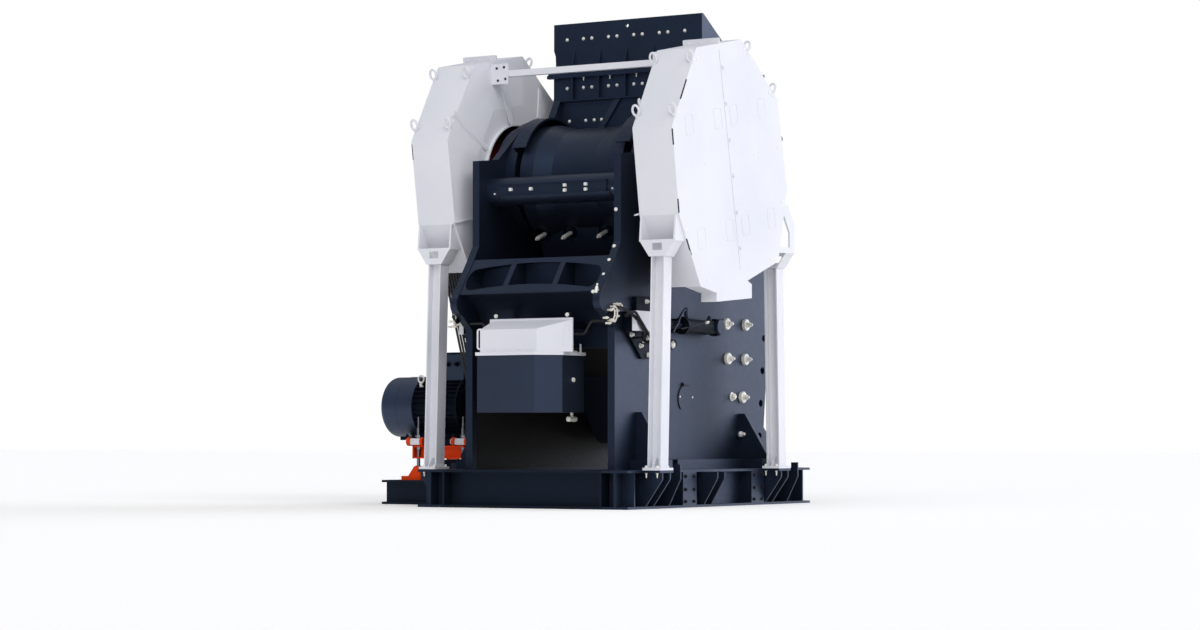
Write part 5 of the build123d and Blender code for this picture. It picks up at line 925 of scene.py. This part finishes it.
for side, sign in both_sides:
    pipe = swept(disc(0.006, 8), mirrored(sign, pipe_way), x_way)
    add_piece("cylinder_pipe_" + side, pipe, black_oxide)
    union = turned(union_profile, 6, (sign * 1.080, -0.075, 1.882), (0, 0.97, 0.2))
    rod_end = turned(rod_end_profile, 28, (sign * 1.000, 0.300, 1.840), y_way)
    add_piece("cylinder_fittings_" + side, joined(union, rod_end), zinc)
    boss = turned(boss_profile, 36, (sign * 1.0915, 0.205, 1.846), (sign, 0, 0))
    inlets = turned(inlet_profile, 20, mirrored(sign, [(1.000, -0.360, 1.908), (1.000, 0.120, 1.908)]), z_way)
    cap = turned(cap_profile, 20, (sign * 1.000, -0.367, 1.945), z_way)
    hose = swept(disc(0.013, 10), mirrored(sign, hose_way), x_way)
    add_piece("cylinder_hose_" + side, joined(boss, inlets, cap, hose), cover_enamel)
    for letter, step in (("_a", 0.0), ("_b", 0.045)):
        path = mirrored(sign, np.array(link_way) + (0, step, 0))
        add_piece("link_hose_" + side + letter, swept(disc(0.010, 10), path, (1, 0.2, 0)), belt_rubber)
print("places along a link hose:", len(link_way))

# %% [markdown]
# ## Painted shade in the discharge
# Below the jaw the crushed rock slides out between the side plates. A thin black sheet on the inner face of
# each side plate paints the deep shade between them. A flat slab is enough, because only its edge and its
# darkness show.

# %% Shade sheets of the discharge
inner_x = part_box("side_plate_right")[0][0]
shade_sheet_outline = [(-1.495, 0.384), (1.320, 0.384), (1.300, 0.750), (0.600, 1.100), (0.200, 1.280), (-1.495, 1.280)]
for side, sign in both_sides:
    # A thin black sheet on the plate's inner face: painted shade
    sheet = side_slab(-sign, sign * (inner_x + 0.0005), shade_sheet_outline, 0.005)
    add_piece("discharge_shade_sheet_" + side, sheet, belt_rubber, smooth=False)
print("inner faces of the side plates at", round(inner_x, 3))

# %% [markdown]
# ## Fan cowl
# The cowl's end is closed by rings and spokes of round wire with a small hub plate in the middle. Each wire
# is a round section swept along a circle or a straight line. A sheet skirt wraps the cowl's other edge.

# %% Fan grille and cowl skirt
motor_y, motor_z, cowl_end = -0.400, 1.030, -2.572
wire_middle = (cowl_end - 0.003, motor_y, motor_z)
wires = []
for radius in (0.050, 0.085, 0.120, 0.155, 0.190, 0.225):
    ring = arc(wire_middle, (0, radius, 0), (0, 0, radius), turns(40))
    wires.append(swept(disc(0.0035, 6), ring, x_way, closed=True))
for turn in turns(8):
    ends = [arc(wire_middle, (0, radius, 0), (0, 0, radius), [turn])[0] for radius in (0.040, 0.240)]
    wires.append(swept(disc(0.004, 6), ends, x_way))
hub_profile = [(0.045, -0.001), (0.045, 0.004), (0.030, 0.008)]
hub = turned(hub_profile, 32, (cowl_end, motor_y, motor_z), (-1, 0, 0))
add_piece("fan_grille", joined(*wires, hub), black_oxide, slot="cowl_grey")
skirt = turned([(0.3235, 0.0), (0.3235, 0.200)], 72, (-2.352, motor_y, motor_z), x_way)
add_piece("cowl_skirt", skirt, cowl_enamel)
print("wires of the grille:", len(wires))

# %% [markdown]
# ## Terminal box, flange and bolts of the motor
# The terminal box has a lid with four screws, and two cable glands at its rear. Toward the pulley the
# body ends in a bolted flange, and a lifting eye stands on top. The bolts are dark, so that they stay quiet.

# %% Terminal box and flange
box_x, lid_low, lid_thickness = -1.7305, 1.585, 0.020
lid_place = (box_x, motor_y, lid_low)
lid = slab(rounded_box(0.275, 0.316, 0.012, 4), lid_place, x_way, y_way, lid_thickness)
gland_profile = [(0.026, -0.001), (0.026, 0.018), (0.020, 0.020), (0.020, 0.045), (0.012, 0.050)]
gland_places = [(-1.790, -0.550, 1.480), (-1.680, -0.550, 1.480)]
glands = turned(gland_profile, 6, gland_places, (0, -1, 0))
add_piece("terminal_lid", joined(lid, glands), dark_enamel, slot="motor_paint", smooth=False)
flange = turned([(0.330, -0.012), (0.330, 0.012)], 64, (-1.590, motor_y, motor_z), x_way)
band = turned([(0.3215, -0.006), (0.3215, 0.006)], 72, (-2.350, motor_y, motor_z), x_way)
add_piece("motor_flange", joined(flange, band), dark_enamel, slot="motor_paint")
print("cable glands:", len(gland_places))

# %% Motor bolts and lifting eye
lid_corners = [(dx, dy) for dx in (-0.118, 0.118) for dy in (-0.138, 0.138)]
screw_places = [(box_x + dx, motor_y + dy, lid_low + lid_thickness) for dx, dy in lid_corners]
bolt_ring = arc((-1.578, motor_y, motor_z), (0, 0.305, 0), (0, 0, 0.305), turns(8) + np.pi / 8)
foot_columns = (-2.240, -2.130, -1.760, -1.650)
motor_feet = [(x, motor_y + dy, 0.715) for x in foot_columns for dy in (-0.270, 0.270)]
motor_bolts = joined(
    domes(screw_places, z_way, 0.008, 0.006, 12),
    bolts(bolt_ring, x_way, 0.014, 1.2, 0.15, 0.3),
    bolts(motor_feet, z_way, 0.018, 1.3, 0.15, 0.6),
)
add_piece("motor_bolts", motor_bolts, black_oxide)
eye_x, eye_y, eye_radius = -2.110, motor_y - 0.200, 0.036
eye = arc((eye_x, eye_y, 1.325), (eye_radius, 0, 0), (0, 0, eye_radius), turns(24))
eye_foot = turned([(0.024, -0.040), (0.018, 0.006)], 14, (eye_x, eye_y, 1.282), (0, -0.3, 1))
add_piece("motor_eye", joined(swept(disc(0.009, 10), eye, y_way, closed=True), eye_foot), zinc)
print("bolts of the motor:", len(screw_places) + len(bolt_ring) + len(motor_feet))

# %% [markdown]
# ## Tilting rods of the motor base
# Two threaded rods set the slope of the motor base. Each passes through a pale block that can turn between
# two orange cheeks, and its foot stands in an orange fork on the beam. A channel under the plate's rear edge
# joins the two pairs of cheeks.

# %% Rods, blocks and forks
rod_y, pivot_y, pivot_z, beam_top = -0.812, -0.856, 0.660, 0.255
rod_profile = [(0.0190, 0.0), (0.0190, 0.500), (0.0120, 0.502), (0.0120, 0.612), (0.0100, 0.616)]
nut_profile = [(0.032, 0.0), (0.032, 0.026), (0.028, 0.030)]
end_profile = [(0.034, -0.001), (0.034, 0.014), (0.028, 0.018)]
cheek_profile = [(0.046, 0.0), (0.046, 0.034)]
rods, blocks, forks = [], [], []
for x in (-1.995, -1.430):
    rods.append(turned(rod_profile, 20, (x, rod_y, beam_top + 0.050), z_way))
    rods.append(turned(nut_profile, 6, [(x, rod_y, 0.700), (x, rod_y, 0.580)], z_way))
    blocks.append(slab(rounded_box(0.132, 0.066, 0.012, 4), (x, -0.834, pivot_z), x_way, z_way, 0.045))
    blocks.append(turned(end_profile, 24, (x - 0.100, pivot_y, pivot_z), (-1, 0, 0)))
    forks.append(turned(cheek_profile, 28, (x - 0.066, pivot_y, pivot_z), (-1, 0, 0)))
    forks.append(turned(cheek_profile, 28, (x + 0.066, pivot_y, pivot_z), x_way))
    foot = rounded_box(0.250, 0.110, 0.006, 3)
    forks.append(slab(foot, (x - 0.060, rod_y, beam_top - 0.001), x_way, y_way, 0.043))
    tine = [(x - 0.105, 0.296), (x + 0.050, 0.296), (x + 0.030, 0.385), (x, 0.408), (x - 0.030, 0.398)]
    forks.append(slab(tine, [(0, y, 0) for y in (-0.838, -0.770)], x_way, z_way, 0.016))
add_piece("tilt_rods", joined(*rods), turned_steel)
add_piece("tilt_blocks", joined(*blocks), guard_enamel)
print("rod pieces:", len(rods) + len(blocks) + len(forks))

# %% Channel and dark edge
channel_side = [
    (-0.850, 0.482), (-0.770, 0.482), (-0.770, 0.616), (-0.850, 0.616),
    (-0.850, 0.602), (-0.786, 0.602), (-0.786, 0.496), (-0.850, 0.496)]
channel = side_slab(1, -2.047, channel_side, 0.662)
channel_ends = [side_slab(1, x, channel_side[:4], 0.016) for x in (-2.049, -1.400)]
add_piece("tilt_forks", joined(*forks, channel, *channel_ends), orange_enamel)
edge_outline = [(-1.925, 0.614), (-1.500, 0.614), (-1.500, 0.677), (-1.925, 0.677)]
plate_edge = slab(edge_outline, (0, -0.829, 0), x_way, z_way, 0.004)
stop_low, stop_high = beam_top - 0.001, 0.470
stop_outline = [(-1.700, stop_low), (-1.470, stop_low), (-1.470, stop_high), (-1.700, stop_high)]
stop = slab(stop_outline, (0, -0.730, 0), x_way, z_way, 0.060)
add_piece("tilt_plate_edge", joined(plate_edge, stop), dark_enamel, slot="motor_paint", smooth=False)
print("ends of the channel:", len(channel_ends))

# %% [markdown]
# ## Floor
# The machine stands in a white studio. The floor is wide and pale, and it gives off a little warm light of
# its own, so that it stays pale in the machine's shadow and brightens the faces that look down.

# %% Floor
floor_half = 120.0
corners = [(sx * floor_half, sy * floor_half, 0) for sx, sy in ((-1, -1), (1, -1), (1, 1), (-1, 1))]
floor_mesh = bpy.data.meshes.new("floor")
floor_mesh.from_pydata(corners, [], [(0, 1, 2, 3)])
floor = bpy.data.objects.new("floor", floor_mesh)
bpy.context.collection.objects.link(floor)
floor_paint = bpy.data.materials.new("pale_floor")
floor_paint.use_nodes = True
floor_tree = floor_paint.node_tree
feed(floor_tree, floor_tree.nodes["Principled BSDF"], [
    ("Base Color", (0.95, 0.95, 0.95, 1)), ("Roughness", 0.9),
    ("Emission Color", (1, 0.93, 0.80, 1)), ("Emission Strength", 0.19)])
floor_mesh.materials.append(floor_paint)
print("floor", 2 * floor_half, "m wide")

# %% [markdown]
# ## Surround and lamps
# A white surround closes the picture behind the machine, but it lights the machine only dimly and a little
# blue. Four large soft lamps do the rest: from the rear, from low on the front right, from high on the right
# and from the top. The wider a lamp, the softer the shadows it leaves.

# %% Surround and lamps
world = bpy.data.worlds.new("studio")
bpy.context.scene.world = world
world.use_nodes = True
sky = world.node_tree
dim = sky.nodes["Background"]
feed(sky, dim, [("Color", (0.82, 0.88, 1, 1)), ("Strength", 0.25)])
backdrop = add_node(sky, "ShaderNodeBackground", [("Color", (1, 1, 1, 1)), ("Strength", 1.0)])
seen = add_node(sky, "ShaderNodeLightPath")
either = add_node(sky, "ShaderNodeMixShader", [
    (0, seen.outputs["Is Camera Ray"]), (1, dim.outputs[0]), (2, backdrop.outputs[0])])
feed(sky, sky.nodes["World Output"], [("Surface", either.outputs[0])])


def soft_sun(name, source, strength, spread, tint=(1, 1, 1)):
    """Wide even light from the direction of source; spread is the lamp's apparent width in degrees."""
    data = bpy.data.lights.new(name, "SUN")
    data.energy = strength
    data.angle = math.radians(spread)
    data.color = tint
    lamp = bpy.data.objects.new(name, data)
    bpy.context.collection.objects.link(lamp)
    way = np.array(source) / np.linalg.norm(source)
    lamp.rotation_euler = (math.acos(way[2]), 0, math.atan2(way[1], way[0]) + math.pi / 2)


soft_sun("rear_lamp", (0.36, -0.79, 0.50), 1.04, 60)
soft_sun("low_front_right_lamp", (0.60, 0.77, 0.16), 1.85, 62, (0.95, 0.99, 1.13))
soft_sun("high_right_lamp", (0.75, -0.30, 0.58), 0.55, 26)
soft_sun("top_lamp", (0.05, -0.05, 1.0), 0.8, 110)
print("lamps:", len(bpy.data.lights))
